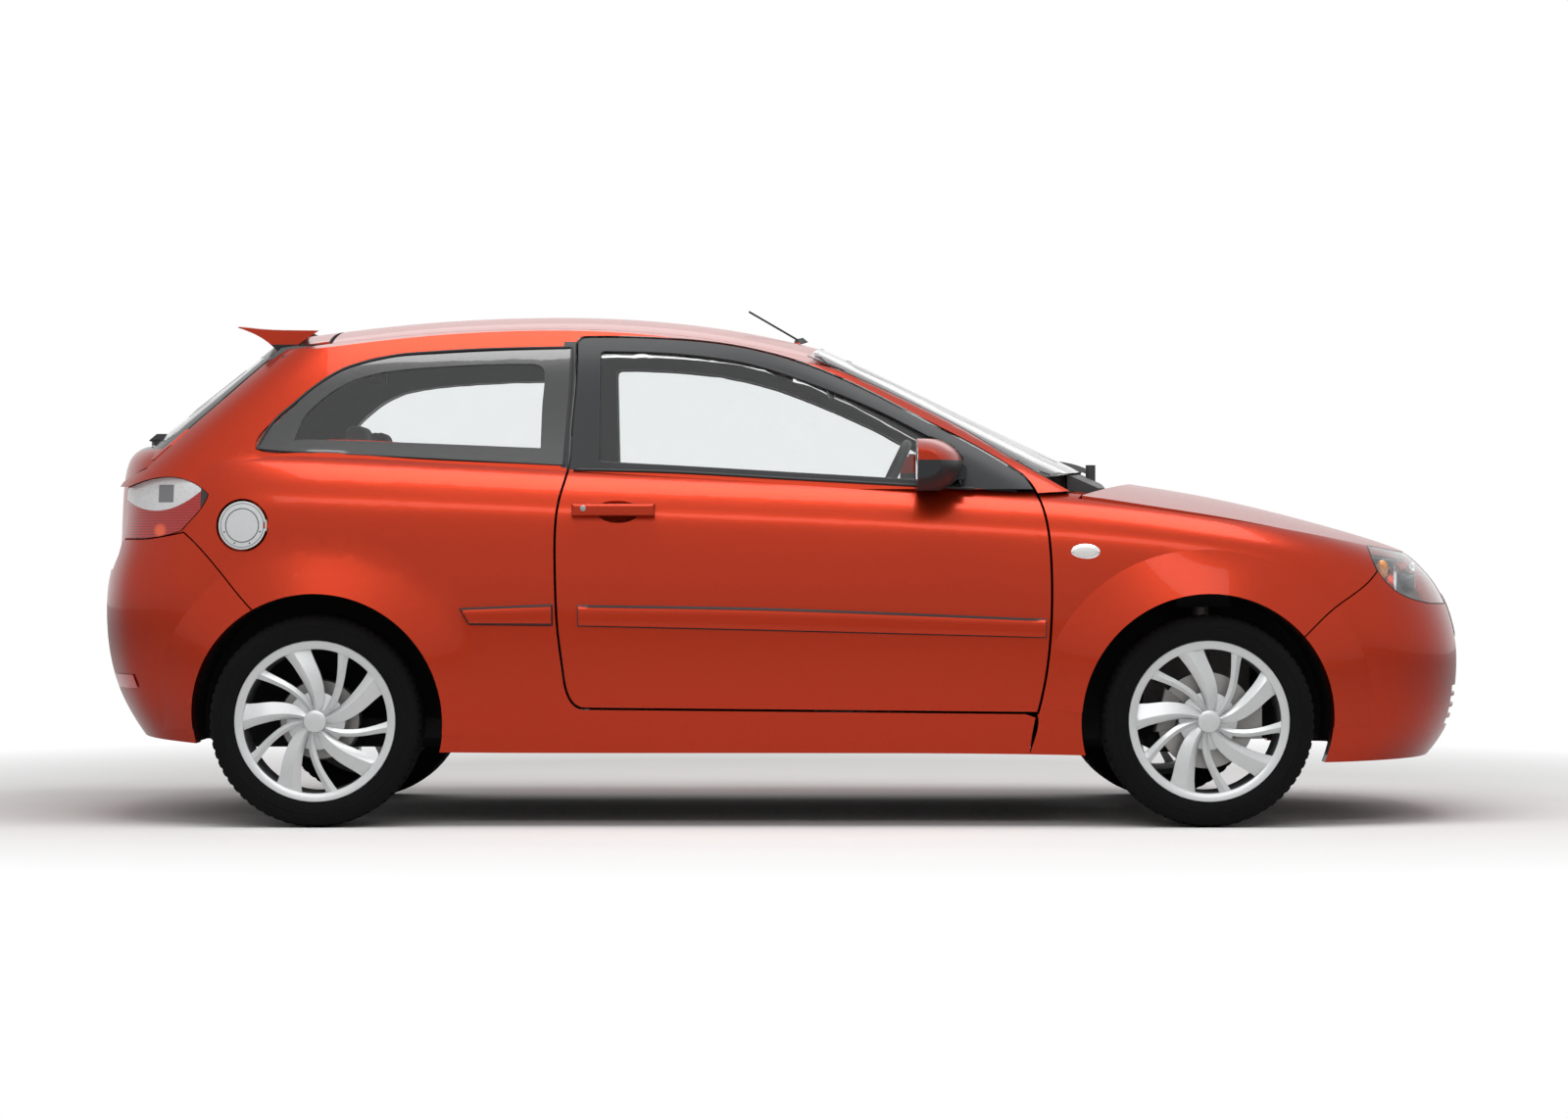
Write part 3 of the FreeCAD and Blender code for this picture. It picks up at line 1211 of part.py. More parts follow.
def exhaust(s):
    """Silencer across the tail and the pipe from the engine."""
    half = s.silencer_length / 2
    can = cylinder(s.silencer_radius, (s.silencer_x, -half, s.silencer_height), (0, 1, 0), s.silencer_length)
    height = s.floor_height - s.pipe_radius - 0.3
    pipe = cylinder(s.pipe_radius, (s.silencer_x, 0, height), (1, 0, 0), 1040 - s.silencer_x)
    link = cylinder(s.pipe_radius, (s.silencer_x, 0, height), (0, 0, 1), s.silencer_height - height)
    return fused(can, pipe, link)


def bind(target, **cells):
    """Tie properties of a feature to cells of the sheet."""
    for name, expression in cells.items():
        target.setExpression(name, expression)


def across(doc, label, radius, length, x, start, height):
    """Cylinder across the car, tied to the sheet."""
    shape = doc.addObject("Part::Cylinder", label)
    shape.Placement = Placement(Vector(0, 0, 0), Rotation(Vector(1, 0, 0), -90))
    bind(shape, Radius=radius, Height=length)
    shape.setExpression(".Placement.Base.x", x)
    shape.setExpression(".Placement.Base.y", start)
    shape.setExpression(".Placement.Base.z", height)
    return shape


def tyre(doc, corner, x, side):
    """Tyre of one wheel: rounded tread, opened for the bead seat and for the rim flanges."""
    middle = f"{side} * Sizes.wheel_centre"
    body = across(doc, f"tread_{corner}", "Sizes.tyre_radius", "Sizes.tyre_width", x,
                  f"{middle} - Sizes.tyre_width / 2", "Sizes.hub_height")
    doc.recompute()
    rounded = doc.addObject("Part::Fillet", f"shoulder_{corner}")
    rounded.Base = body
    radius = doc.getObject("Sizes").get("tyre_shoulder")
    rounded.Edges = [(i, radius, radius) for i, edge in enumerate(body.Shape.Edges, 1) if edge.Closed]
    seat_hole = across(doc, f"bead_{corner}", "Sizes.bead_radius", "Sizes.tyre_width + 2", x,
                       f"{middle} - Sizes.tyre_width / 2 - 1", "Sizes.hub_height")
    outer = across(doc, f"outer_lip_{corner}", "Sizes.flange_radius + 0.3", "Sizes.tyre_width", x,
                   f"{middle} - Sizes.rim_width / 2 + Sizes.flange_width - Sizes.tyre_width",
                   "Sizes.hub_height")
    inner = across(doc, f"inner_lip_{corner}", "Sizes.flange_radius + 0.3", "Sizes.tyre_width", x,
                   f"{middle} + Sizes.rim_width / 2 - Sizes.flange_width", "Sizes.hub_height")
    tools = doc.addObject("Part::MultiFuse", f"rim_space_{corner}")
    tools.Shapes = [seat_hole, outer, inner]
    cut = doc.addObject("Part::Cut", f"tyre_{corner}")
    cut.Base = rounded
    cut.Tool = tools
    return cut


def engine_block(doc):
    """Engine and gearbox as one plain block at their real place."""
    block = doc.addObject("Part::Box", "engine_block")
    bind(block, Length="Sizes.engine_length", Width="Sizes.engine_width", Height="Sizes.engine_height")
    block.setExpression(".Placement.Base.x", "Sizes.engine_start")
    block.setExpression(".Placement.Base.y", "-Sizes.engine_width / 2")
    block.setExpression(".Placement.Base.z", "Sizes.engine_base")
    return block


def check(doc, nodes):
    """Stop before anything is written if a piece failed."""
    for obj in doc.Objects:
        if "Invalid" in obj.State or "Error" in obj.State:
            raise ValueError(f"{obj.Label} failed: {obj.State}")
    for label, feature in nodes.items():
        if feature.Shape.isNull() or not feature.Shape.isValid():
            raise ValueError(f"{label} has no valid shape")
        if len(feature.Shape.Solids) != 1:
            raise ValueError(f"{label} has {len(feature.Shape.Solids)} solids")


def main():
    os.makedirs("parts", exist_ok=True)
    doc = FreeCAD.newDocument("Hatchback")
    s = Sizes(build_sheet(doc))
    nodes = {}

    def add(label, shape, place=None):
        feature = doc.addObject("Part::Feature", label)
        feature.Label = label
        feature.Shape = shape
        if place:
            feature.Placement = place
        nodes[label] = feature

    hole = door_hole(s)
    pairs = {
        "door": door(s), "door_glass": door_glass(s), "fender": fender(s, hole), "headlamp": headlamp(s),
        "body_side": body_side(s, hole), "quarter_glass": quarter_glass(s), "tail_lamp": tail_lamp(s),
        "mirror": mirror(s), "front_seat": seat(s), "knuckle": knuckle(s),
    }
    flap = fuel_flap(s)
    for name, shape in pairs.items():
        if name == "door":
            shape = biggest(shape.fuse(handle(s)))
        add(f"{name}_left", mirrored(shape))
        if name == "body_side":
            shape = biggest(shape.cut(flap_recess(s)))
        add(f"{name}_right", shape)
    add("fuel_flap", flap)
    add("bonnet", bonnet(s))
    add("front_bumper", front_bumper(s))
    add("windscreen", windscreen(s))
    add("roof_panel", roof(s))
    add("tailgate", tailgate(s))
    add("tailgate_glass", tailgate_glass(s))
    add("rear_bumper", rear_bumper(s))
    add("floor_pan", floor_pan(s))
    add("rear_beam", rear_beam(s))
    add("dashboard", dashboard(s))
    add("steering_wheel", steering_wheel(s))
    add("rear_seat", rear_seat(s))
    add("cowl", cowl(s))
    add("rear_wiper", rear_wiper(s))
    add("exhaust", exhaust(s))
    rims = {"front": rim(s, True), "rear": rim(s, False)}
    axles = {"front": ("Sizes.front_axle", s.front_axle),
             "rear": ("(Sizes.front_axle - Sizes.wheelbase)", s.rear_axle)}
    for end, (expression, x) in axles.items():
        for side, name in ((-1, "right"), (1, "left")):
            corner = f"{end}_{name}"
            nodes[f"tyre_{corner}"] = tyre(doc, corner, expression, side)
            turn = Rotation(Vector(0, 0, 1), 0 if side < 0 else 180)
            add(f"rim_{corner}", rims[end], Placement(Vector(x, side * s.wheel_centre, s.hub_height), turn))
    nodes["engine_block"] = engine_block(doc)
    doc.recompute()
    check(doc, nodes)
    for label, feature in nodes.items():
        feature.Shape.exportStep(f"parts/{label}.step")


main()
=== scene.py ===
import math

import bpy
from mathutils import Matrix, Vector
from mathutils.bvhtree import BVHTree


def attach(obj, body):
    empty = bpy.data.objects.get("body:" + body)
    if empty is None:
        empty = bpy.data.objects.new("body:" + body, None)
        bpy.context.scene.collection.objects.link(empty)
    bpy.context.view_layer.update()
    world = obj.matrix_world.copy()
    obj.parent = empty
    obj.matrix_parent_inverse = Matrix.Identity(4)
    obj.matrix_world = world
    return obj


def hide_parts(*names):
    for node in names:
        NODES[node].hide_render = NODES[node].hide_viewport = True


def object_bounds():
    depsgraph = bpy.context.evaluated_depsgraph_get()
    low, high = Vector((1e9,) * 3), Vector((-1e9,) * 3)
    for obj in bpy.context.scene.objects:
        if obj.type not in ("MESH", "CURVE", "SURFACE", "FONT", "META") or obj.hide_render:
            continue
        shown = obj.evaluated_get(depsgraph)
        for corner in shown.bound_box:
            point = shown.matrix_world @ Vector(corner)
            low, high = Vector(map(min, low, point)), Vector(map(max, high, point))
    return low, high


bl_info = {
    "name": "Hatchback bodywork and trim",
    "version": (1, 0, 0),
    "blender": (4, 5, 0),
    "location": "View3D > Sidebar > Hatchback",
    "description": "Dresses the packed hatchback with paint, glass, lamps, wheels, seats and trim",
    "category": "Object",
}

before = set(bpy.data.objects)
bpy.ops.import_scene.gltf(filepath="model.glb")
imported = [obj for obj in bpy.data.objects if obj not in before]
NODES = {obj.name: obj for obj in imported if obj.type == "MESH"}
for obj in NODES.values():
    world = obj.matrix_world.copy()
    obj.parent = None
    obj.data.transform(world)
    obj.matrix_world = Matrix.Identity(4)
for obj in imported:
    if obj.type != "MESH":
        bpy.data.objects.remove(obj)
CAD_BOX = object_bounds()
SIDES = ((-1, "right"), (1, "left"))
AXLES = ((1.160, "front"), (-1.280, "rear"))
HUB_HEIGHT = 0.290
WHEEL_CENTRE = 0.724
# Distance of a front seat and of a rear head rest from the middle line.
SEAT_MIDDLE = 0.365
REST_MIDDLE = 0.300

# Side view outlines as (x, height) in metres, each run from one corner to the next.
QUARTER_EDGE = (
    ((-1.452, 1.037), (-1.411, 1.110), (-1.357, 1.161), (-1.302, 1.209), (-1.248, 1.246), (-1.194, 1.271),
     (-1.085, 1.298), (-0.977, 1.308), (-0.814, 1.317), (-0.589, 1.322)),
    ((-0.589, 1.322), (-0.592, 1.189), (-0.599, 1.082), (-0.606, 0.991)),
    ((-0.606, 0.991), (-1.077, 1.015), (-1.346, 1.028), (-1.452, 1.037)),
)
QUARTER_WINDOW = (
    ((-1.350, 1.058), (-1.324, 1.125), (-1.273, 1.177), (-1.219, 1.215), (-1.165, 1.238), (-1.083, 1.255),
     (-0.975, 1.265), (-0.813, 1.273), (-0.692, 1.274)),
    ((-0.692, 1.274), (-0.664, 1.250), (-0.668, 1.150), (-0.670, 1.038)),
    ((-0.670, 1.038), (-1.010, 1.052), (-1.300, 1.062), (-1.350, 1.058)),
)
DOOR_WINDOW = (
    (-0.513, 1.290), (-0.509, 1.306), (-0.490, 1.311), (-0.325, 1.306), (-0.163, 1.288), (-0.054, 1.264),
    (0.108, 1.208), (0.271, 1.139), (0.352, 1.097), (0.480, 1.030), (0.483, 0.980), (0.486, 0.932),
    (0.379, 0.946), (0.0, 0.969), (-0.271, 0.985), (-0.488, 0.997), (-0.508, 1.004), (-0.511, 1.024),
)


# Settings that a user would change.
class PaintSettings(bpy.types.PropertyGroup):
    colour: bpy.props.FloatVectorProperty(
        name="Paint", description="Colour of the metallic paint seen square on", subtype="COLOR",
        default=(0.41, 0.026, 0.005), size=3, min=0, max=1)
    flop: bpy.props.FloatVectorProperty(
        name="Flop", description="Deeper colour that the paint turns to at a slant", subtype="COLOR",
        default=(0.24, 0.010, 0.003), size=3, min=0, max=1)
    flake: bpy.props.FloatProperty(
        name="Flake size", description="Size of the metal flakes in the paint", default=0.0007, unit="LENGTH")
    trim: bpy.props.FloatVectorProperty(
        name="Trim", description="Colour of the unpainted plastic", subtype="COLOR",
        default=(0.030, 0.031, 0.033), size=3, min=0, max=1)


class WheelSettings(bpy.types.PropertyGroup):
    silver: bpy.props.FloatVectorProperty(
        name="Silver", description="Colour of the wheels' lacquer", subtype="COLOR",
        default=(0.56, 0.575, 0.58), size=3, min=0, max=1)
    rubber: bpy.props.FloatVectorProperty(
        name="Rubber", description="Colour of the tyres", subtype="COLOR",
        default=(0.006, 0.006, 0.0065), size=3, min=0, max=1)
    blocks: bpy.props.IntProperty(
        name="Tread blocks", description="Blocks round each tyre's shoulder", default=66, min=20, max=120)


class StageSettings(bpy.types.PropertyGroup):
    distance: bpy.props.FloatProperty(
        name="Distance", description="Camera's distance from the middle of the car", default=11.93,
        unit="LENGTH")
    height: bpy.props.FloatProperty(
        name="Height", description="Camera's height over the floor", default=0.733, unit="LENGTH")
    lens: bpy.props.FloatProperty(
        name="Lens", description="Focal length on a 36 mm frame", default=93.6, min=20, max=300)


# Shared effects as node groups.
def grain_group():
    """Fine grain: a value for colour and a height for bump, at a scale."""
    name = "fine_grain"
    if name in bpy.data.node_groups:
        return bpy.data.node_groups[name]
    group = bpy.data.node_groups.new(name, "ShaderNodeTree")
    group.interface.new_socket("Vector", in_out="INPUT", socket_type="NodeSocketVector")
    group.interface.new_socket("Scale", in_out="INPUT", socket_type="NodeSocketFloat")
    group.interface.new_socket("Value", in_out="OUTPUT", socket_type="NodeSocketFloat")
    enter = group.nodes.new("NodeGroupInput")
    leave = group.nodes.new("NodeGroupOutput")
    fine = group.nodes.new("ShaderNodeTexNoise")
    fine.inputs["Detail"].default_value = 3.0
    group.links.new(enter.outputs["Vector"], fine.inputs["Vector"])
    group.links.new(enter.outputs["Scale"], fine.inputs["Scale"])
    coarse = group.nodes.new("ShaderNodeTexNoise")
    coarse.inputs["Detail"].default_value = 2.0
    slow = group.nodes.new("ShaderNodeMath")
    slow.operation = "MULTIPLY"
    slow.inputs[1].default_value = 0.07
    group.links.new(enter.outputs["Scale"], slow.inputs[0])
    group.links.new(enter.outputs["Vector"], coarse.inputs["Vector"])
    group.links.new(slow.outputs[0], coarse.inputs["Scale"])
    blend = group.nodes.new("ShaderNodeMath")
    blend.operation = "MULTIPLY_ADD"
    blend.inputs[1].default_value = 0.35
    spread = group.nodes.new("ShaderNodeMath")
    spread.operation = "MULTIPLY"
    spread.inputs[1].default_value = 0.65
    group.links.new(fine.outputs["Fac"], spread.inputs[0])
    group.links.new(coarse.outputs["Fac"], blend.inputs[0])
    group.links.new(spread.outputs[0], blend.inputs[2])
    group.links.new(blend.outputs[0], leave.inputs["Value"])
    return group


class Shader:
    """A material's node tree, filled in step by step."""

    def __init__(self, name):
        self.material = bpy.data.materials.new(name)
        self.material.use_nodes = True
        self.tree = self.material.node_tree
        self.tree.nodes.clear()
        self.surface = self.add("ShaderNodeBsdfPrincipled")
        self.output = self.add("ShaderNodeOutputMaterial")
        self.join(self.surface.outputs[0], self.output.inputs[0])
        self.places = self.add("ShaderNodeTexCoord")

    def add(self, kind, **values):
        node = self.tree.nodes.new(kind)
        for name, value in values.items():
            setattr(node, name, value)
        return node

    def join(self, source, target):
        self.tree.links.new(source, target)

    def set(self, **values):
        for name, value in values.items():
            self.surface.inputs[name.replace("_", " ")].default_value = value
        return self

    def feed(self, name, source):
        self.join(source, self.surface.inputs[name])
        return self

    def split(self, output="Object"):
        node = self.add("ShaderNodeSeparateXYZ")
        self.join(self.places.outputs[output], node.inputs[0])
        return node.outputs

    def math(self, operation, a, b=0.0, c=0.0):
        node = self.add("ShaderNodeMath", operation=operation)
        for socket, value in zip(node.inputs, (a, b, c)):
            if isinstance(value, (int, float)):
                socket.default_value = value
            else:
                self.join(value, socket)
        return node.outputs[0]

    def grain(self, scale):
        node = self.add("ShaderNodeGroup")
        node.node_tree = grain_group()
        node.inputs["Scale"].default_value = scale
        self.join(self.places.outputs["Object"], node.inputs["Vector"])
        return node.outputs[0]

    def ramp(self, factor, low, high, start=0.0, end=1.0):
        node = self.add("ShaderNodeMapRange")
        for name, value in (("From Min", start), ("From Max", end), ("To Min", low), ("To Max", high)):
            node.inputs[name].default_value = value
        self.join(factor, node.inputs["Value"])
        return node.outputs[0]

    def mix(self, factor, a, b):
        node = self.add("ShaderNodeMix", data_type="RGBA")
        for socket, value in ((node.inputs[0], factor), (node.inputs[6], a), (node.inputs[7], b)):
            if isinstance(value, bpy.types.NodeSocket):
                self.join(value, socket)
            elif isinstance(value, (int, float)):
                socket.default_value = value
            else:
                socket.default_value = (*value, 1.0)
        return node.outputs[2]

    def bump(self, height, distance, strength=1.0):
        node = self.add("ShaderNodeBump")
        node.inputs["Strength"].default_value = strength
        node.inputs["Distance"].default_value = distance
        self.join(height, node.inputs["Height"])
        self.join(node.outputs[0], self.surface.inputs["Normal"])
        return self

    def above(self, points, soft=0.0007):
        """Mask of what lies over a parabola through three (x, height) points of the side view."""
        (x0, z0), (x1, z1), (x2, z2) = points
        rise_rate = (z1 - z0) / (x1 - x0)
        bend = ((z2 - z1) / (x2 - x1) - rise_rate) / (x2 - x0)
        x, _, z = self.split()
        line = self.math("MULTIPLY_ADD", x, rise_rate, z0 - rise_rate * x0)
        curve = self.math("MULTIPLY", self.math("SUBTRACT", x, x0), self.math("SUBTRACT", x, x1))
        line = self.math("MULTIPLY_ADD", curve, bend, line)
        return self.ramp(self.math("SUBTRACT", z, line), 0.0, 1.0, -soft, soft)

    def inward(self):
        """Mask of faces that look towards the middle of the car."""
        _, y, _ = self.split()
        _, across, _ = self.split("Normal")
        return self.math("LESS_THAN", self.math("MULTIPLY", self.math("SIGN", y), across), -0.25)

    def between(self, value, low, high):
        return self.math("MULTIPLY", self.math("GREATER_THAN", value, low), self.math("LESS_THAN", value, high))


# Share of metal flake and of clear coat in the paint, the coat left on its plastic parts, its middle
# roughness, and the colour of a painted glint on a flake that catches the light.
PAINT_METAL = 0.68
PAINT_COAT = 0.32
BARE_COAT = 0.05
PAINT_ROUGH = 0.3
FLAKE_GLINT = (0.74, 0.095, 0.014)


def scaled(colour, factor):
    return tuple(min(1.0, channel * factor) for channel in colour)


def paint_colour(shader):
    """Metallic paint: fine flakes with a painted glint in the colour, deeper where the surface turns away."""
    look = bpy.context.scene.hatch_paint
    slant = shader.add("ShaderNodeLayerWeight")
    slant.inputs["Blend"].default_value = 0.5
    colour = shader.mix(shader.ramp(slant.outputs["Facing"], 0.0, 1.0, 0.15, 0.85), tuple(look.colour),
                        tuple(look.flop))
    flake = shader.add("ShaderNodeTexVoronoi")
    flake.inputs["Scale"].default_value = 1 / look.flake
    shader.join(shader.places.outputs["Object"], flake.inputs["Vector"])
    bright = shader.add("ShaderNodeSeparateColor")
    shader.join(flake.outputs["Color"], bright.inputs[0])
    # Painted glint: random flakes are lifted towards the brighter flake colour.
    return shader.mix(shader.ramp(bright.outputs[0], 0.0, 0.20, 0.62, 1.0), colour, FLAKE_GLINT)


def make_paint(name, parts=()):
    """Paint, with other finishes where a mask is 1: (mask, colour, roughness) each."""
    shader = Shader(name)
    shader.set(IOR=1.45, Specular_IOR_Level=0.3, Coat_Roughness=0.03, Coat_IOR=1.36)
    colour = paint_colour(shader)
    haze = shader.grain(30)
    rough = shader.ramp(haze, PAINT_ROUGH - 0.03, PAINT_ROUGH + 0.03)
    metal = None
    for mask_of, dark, roughness in parts:
        mask = mask_of(shader)
        texture = shader.mix(shader.grain(1500), scaled(dark, 0.75), scaled(dark, 1.3))
        colour = shader.mix(mask, colour, texture)
        rough = shader.math("MULTIPLY_ADD", mask, roughness - PAINT_ROUGH, rough)
        keep = shader.math("SUBTRACT", 1.0, mask)
        metal = keep if metal is None else shader.math("MULTIPLY", metal, keep)
    shader.feed("Base Color", colour).feed("Roughness", rough)
    if metal is None:
        return shader.set(Metallic=PAINT_METAL, Coat_Weight=PAINT_COAT)
    shader.feed("Metallic", shader.math("MULTIPLY", metal, PAINT_METAL))
    return shader.feed("Coat Weight", shader.math("MULTIPLY_ADD", metal, PAINT_COAT - BARE_COAT, BARE_COAT))


TRIM_BLACK = (0.020, 0.021, 0.023)
CABIN_GREY = (0.050, 0.052, 0.056)
LINER_GREY = (0.42, 0.41, 0.39)


def cabin_side(shader):
    """Inner faces of a side panel within the cabin's length."""
    x, _, z = shader.split()
    inside = shader.math("MULTIPLY", shader.between(x, -1.60, 0.76), shader.math("GREATER_THAN", z, 0.24))
    return shader.math("MULTIPLY", shader.inward(), inside)


def under_roof(shader):
    """Faces of the roof panel that look down."""
    _, _, up = shader.split("Normal")
    return shader.math("LESS_THAN", up, -0.3)


def door_frame(shader):
    """The door over its waist line."""
    return shader.above(((-0.583, 0.9785), (0.0, 0.9545), (0.656, 0.9185)))


def pillar_band(shader):
    """Pillar between the door and the quarter window."""
    x, _, z = shader.split()
    return shader.math("MULTIPLY", shader.between(x, -0.612, -0.560), shader.between(z, 0.983, 1.338))


def window_reveal(shader):
    """Edges of the quarter window's opening, behind its printed band."""
    x, _, z = shader.split()
    _, across, _ = shader.split("Normal")
    near = shader.math("MULTIPLY", shader.between(x, -1.40, -0.64), shader.between(z, 1.02, 1.30))
    return shader.math("MULTIPLY", near, shader.math("LESS_THAN", shader.math("ABSOLUTE", across), 0.55))


def mirror_foot(shader):
    """The mirror below the parting line of its shell."""
    _, _, z = shader.split()
    return shader.ramp(z, 1.0, 0.0, 1.0005, 1.0017)


def gate_band(shader):
    """Printed band and gloss panel round the rear glass."""
    _, y, z = shader.split()
    wide = shader.math("LESS_THAN", shader.math("ABSOLUTE", y), 0.585)
    return shader.math("MULTIPLY", shader.between(z, 1.040, 1.335), wide)


def gate_inside(shader):
    """Faces of the tailgate that look into the car."""
    along, _, _ = shader.split("Normal")
    return shader.math("GREATER_THAN", along, 0.25)


def aerial_part(shader):
    """The rod and its foot, just over the roof."""
    x, y, _ = shader.split()
    near = shader.math("LESS_THAN", shader.math("ABSOLUTE", y), 0.027)
    zone = shader.math("MULTIPLY", near, shader.between(x, -0.14, 0.09))
    over = shader.above(((-0.130, 1.4005), (-0.030, 1.3815), (0.085, 1.3525)), 0.0005)
    return shader.math("MULTIPLY", zone, over)


def make_trim(name, colour=None, scale=2200, roughness=0.5):
    shader = Shader(name)
    colour = colour or tuple(bpy.context.scene.hatch_paint.trim)
    grain = shader.grain(scale)
    shader.feed("Base Color", shader.mix(grain, scaled(colour, 0.6), scaled(colour, 1.45)))
    shader.feed("Roughness", shader.ramp(grain, roughness - 0.08, roughness + 0.08))
    return shader.bump(grain, 0.0004, 0.5)


def make_gloss_black(name):
    shader = make_trim(name, (0.016, 0.017, 0.018), 900, 0.16)
    return shader.set(Coat_Weight=1.0, Coat_Roughness=0.03)


def make_glass(name, tint=(0.95, 0.968, 0.970)):
    shader = Shader(name)
    shader.set(Roughness=0.0, IOR=1.45, Transmission_Weight=1.0)
    return shader.feed("Base Color", shader.mix(shader.grain(14), scaled(tint, 0.95), tint))


def make_silver(name):
    look = bpy.context.scene.hatch_wheel
    shader = Shader(name).set(Metallic=0.55, Coat_Weight=0.5, Coat_Roughness=0.08)
    grain = shader.grain(1300)
    shader.feed("Base Color", shader.mix(grain, scaled(look.silver, 0.85), scaled(look.silver, 1.12)))
    return shader.feed("Roughness", shader.ramp(grain, 0.28, 0.40))


def make_steel(name):
    shader = Shader(name).set(Metallic=0.9)
    grain = shader.grain(420)
    shader.feed("Base Color", shader.mix(grain, (0.22, 0.215, 0.21), (0.48, 0.47, 0.46)))
    return shader.feed("Roughness", shader.ramp(grain, 0.25, 0.45)).bump(grain, 0.0003, 0.3)


def make_cast(name):
    shader = Shader(name).set(Metallic=0.7)
    grain = shader.grain(330)
    shader.feed("Base Color", shader.mix(grain, (0.20, 0.19, 0.18), (0.46, 0.45, 0.44)))
    return shader.feed("Roughness", shader.ramp(grain, 0.45, 0.65)).bump(grain, 0.0008, 0.5)


def make_rubber(name):
    look = bpy.context.scene.hatch_wheel
    shader = Shader(name).set(Specular_IOR_Level=0.06)
    dust = shader.grain(160)
    shader.feed("Base Color", shader.mix(dust, scaled(look.rubber, 0.6), scaled(look.rubber, 1.8)))
    return shader.feed("Roughness", shader.ramp(dust, 0.75, 0.92)).bump(shader.grain(1100), 0.0003, 0.4)


def make_underside(name):
    shader = Shader(name).set(Specular_IOR_Level=0.12)
    grain = shader.grain(190)
    x, _, z = shader.split()
    _, _, up = shader.split("Normal")
    cabin = shader.math("MULTIPLY", shader.between(x, -1.86, 0.80), shader.math("GREATER_THAN", up, 0.5))
    coat = shader.mix(grain, (0.010, 0.010, 0.011), (0.030, 0.029, 0.028))
    carpet = shader.mix(shader.grain(1400), (0.022, 0.023, 0.026), (0.075, 0.076, 0.080))
    shader.feed("Base Color", shader.mix(cabin, coat, carpet)).set(Roughness=0.8)
    return shader.bump(grain, 0.0015, 0.5)


# Turns of phase in a metre of cloth.
THREADS = 2600.0


def make_cloth(name, tone=1.0, middle=0.0, half=0.0):
    """Woven seat cloth: crossed threads over a soft mottling, with a lighter middle panel on each seat."""
    shader = Shader(name).set(Roughness=0.93, Sheen_Weight=0.25)
    x, y, z = shader.split()
    warp = shader.math("SINE", shader.math("MULTIPLY", y, THREADS))
    weft = shader.math("SINE", shader.math("MULTIPLY", shader.math("ADD", x, z), THREADS))
    weave = shader.ramp(shader.math("MULTIPLY", warp, weft), 0.0, 1.0, -1.0, 1.0)
    thread = scaled((0.045, 0.047, 0.052), tone)
    mottle = shader.mix(shader.grain(500), scaled((0.060, 0.062, 0.067), tone),
                        scaled((0.13, 0.134, 0.143), tone))
    colour = shader.mix(weave, mottle, thread)
    if half:
        off = shader.math("ABSOLUTE", shader.math("SUBTRACT", shader.math("ABSOLUTE", y), middle))
        edge = shader.ramp(off, 1.0, 0.0, half - 0.001, half + 0.001)
        panel = shader.mix(shader.grain(420), (0.085, 0.088, 0.096), (0.20, 0.205, 0.215))
        colour = shader.mix(edge, colour, shader.mix(weave, panel, (0.07, 0.072, 0.080)))
    shader.feed("Base Color", colour)
    return shader.bump(weave, 0.0005, 0.6)


def make_red_lamp(name):
    """Tail lamp: clear field with a dark bulb over a ribbed red one, with painted rib shade, a painted
    highlight and a dark edge.
    """
    shader = Shader(name).set(Coat_Weight=0.45, Coat_Roughness=0.02, Specular_IOR_Level=0.35, IOR=1.49)
    x, _, z = shader.split()
    clear = shader.above(((-1.775, 0.872), (-1.690, 0.872), (-1.620, 0.905)), 0.0008)
    rib = shader.math("ABSOLUTE", shader.math("SINE", shader.math("MULTIPLY", z, 420.0)))
    # Painted shade along the ribs: dark red in their hollows, brighter red on their crests.
    red = shader.mix(rib, (0.16, 0.003, 0.004), (0.50, 0.012, 0.009))

    def spot(at_x, at_z, reach):
        far = shader.math("ADD", shader.math("POWER", shader.math("SUBTRACT", x, at_x), 2.0),
                          shader.math("POWER", shader.math("SUBTRACT", z, at_z), 2.0))
        return shader.ramp(shader.math("SQRT", far), 1.0, 0.0, reach * 0.5, reach)
    # Painted highlight: a round bright orange patch in the red field that fades out at its edge.
    red = shader.mix(spot(-1.720, 0.812, 0.022), red, (0.85, 0.10, 0.02))
    pale = shader.mix(shader.grain(90), (0.50, 0.50, 0.51), (0.84, 0.84, 0.85))
    bulb = shader.math("MULTIPLY", shader.between(x, -1.727, -1.681), shader.between(z, 0.889, 0.938))
    pale = shader.mix(bulb, pale, (0.16, 0.16, 0.17))
    colour = shader.mix(clear, red, pale)
    line = shader.math("MULTIPLY_ADD", x, 1.1667, 0.905 + 1.568 * 1.1667)
    strip = shader.ramp(shader.math("SUBTRACT", line, z), 0.0, 1.0, -0.0008, 0.0008)
    rim = shader.math("MULTIPLY", shader.math("LESS_THAN", x, -1.60), shader.math("SUBTRACT", 1.0, strip))
    colour = shader.mix(rim, (0.020, 0.006, 0.006), colour)
    shader.feed("Base Color", colour)
    return shader.feed("Roughness", shader.ramp(rib, 0.08, 0.2)).bump(rib, 0.001, 0.25)


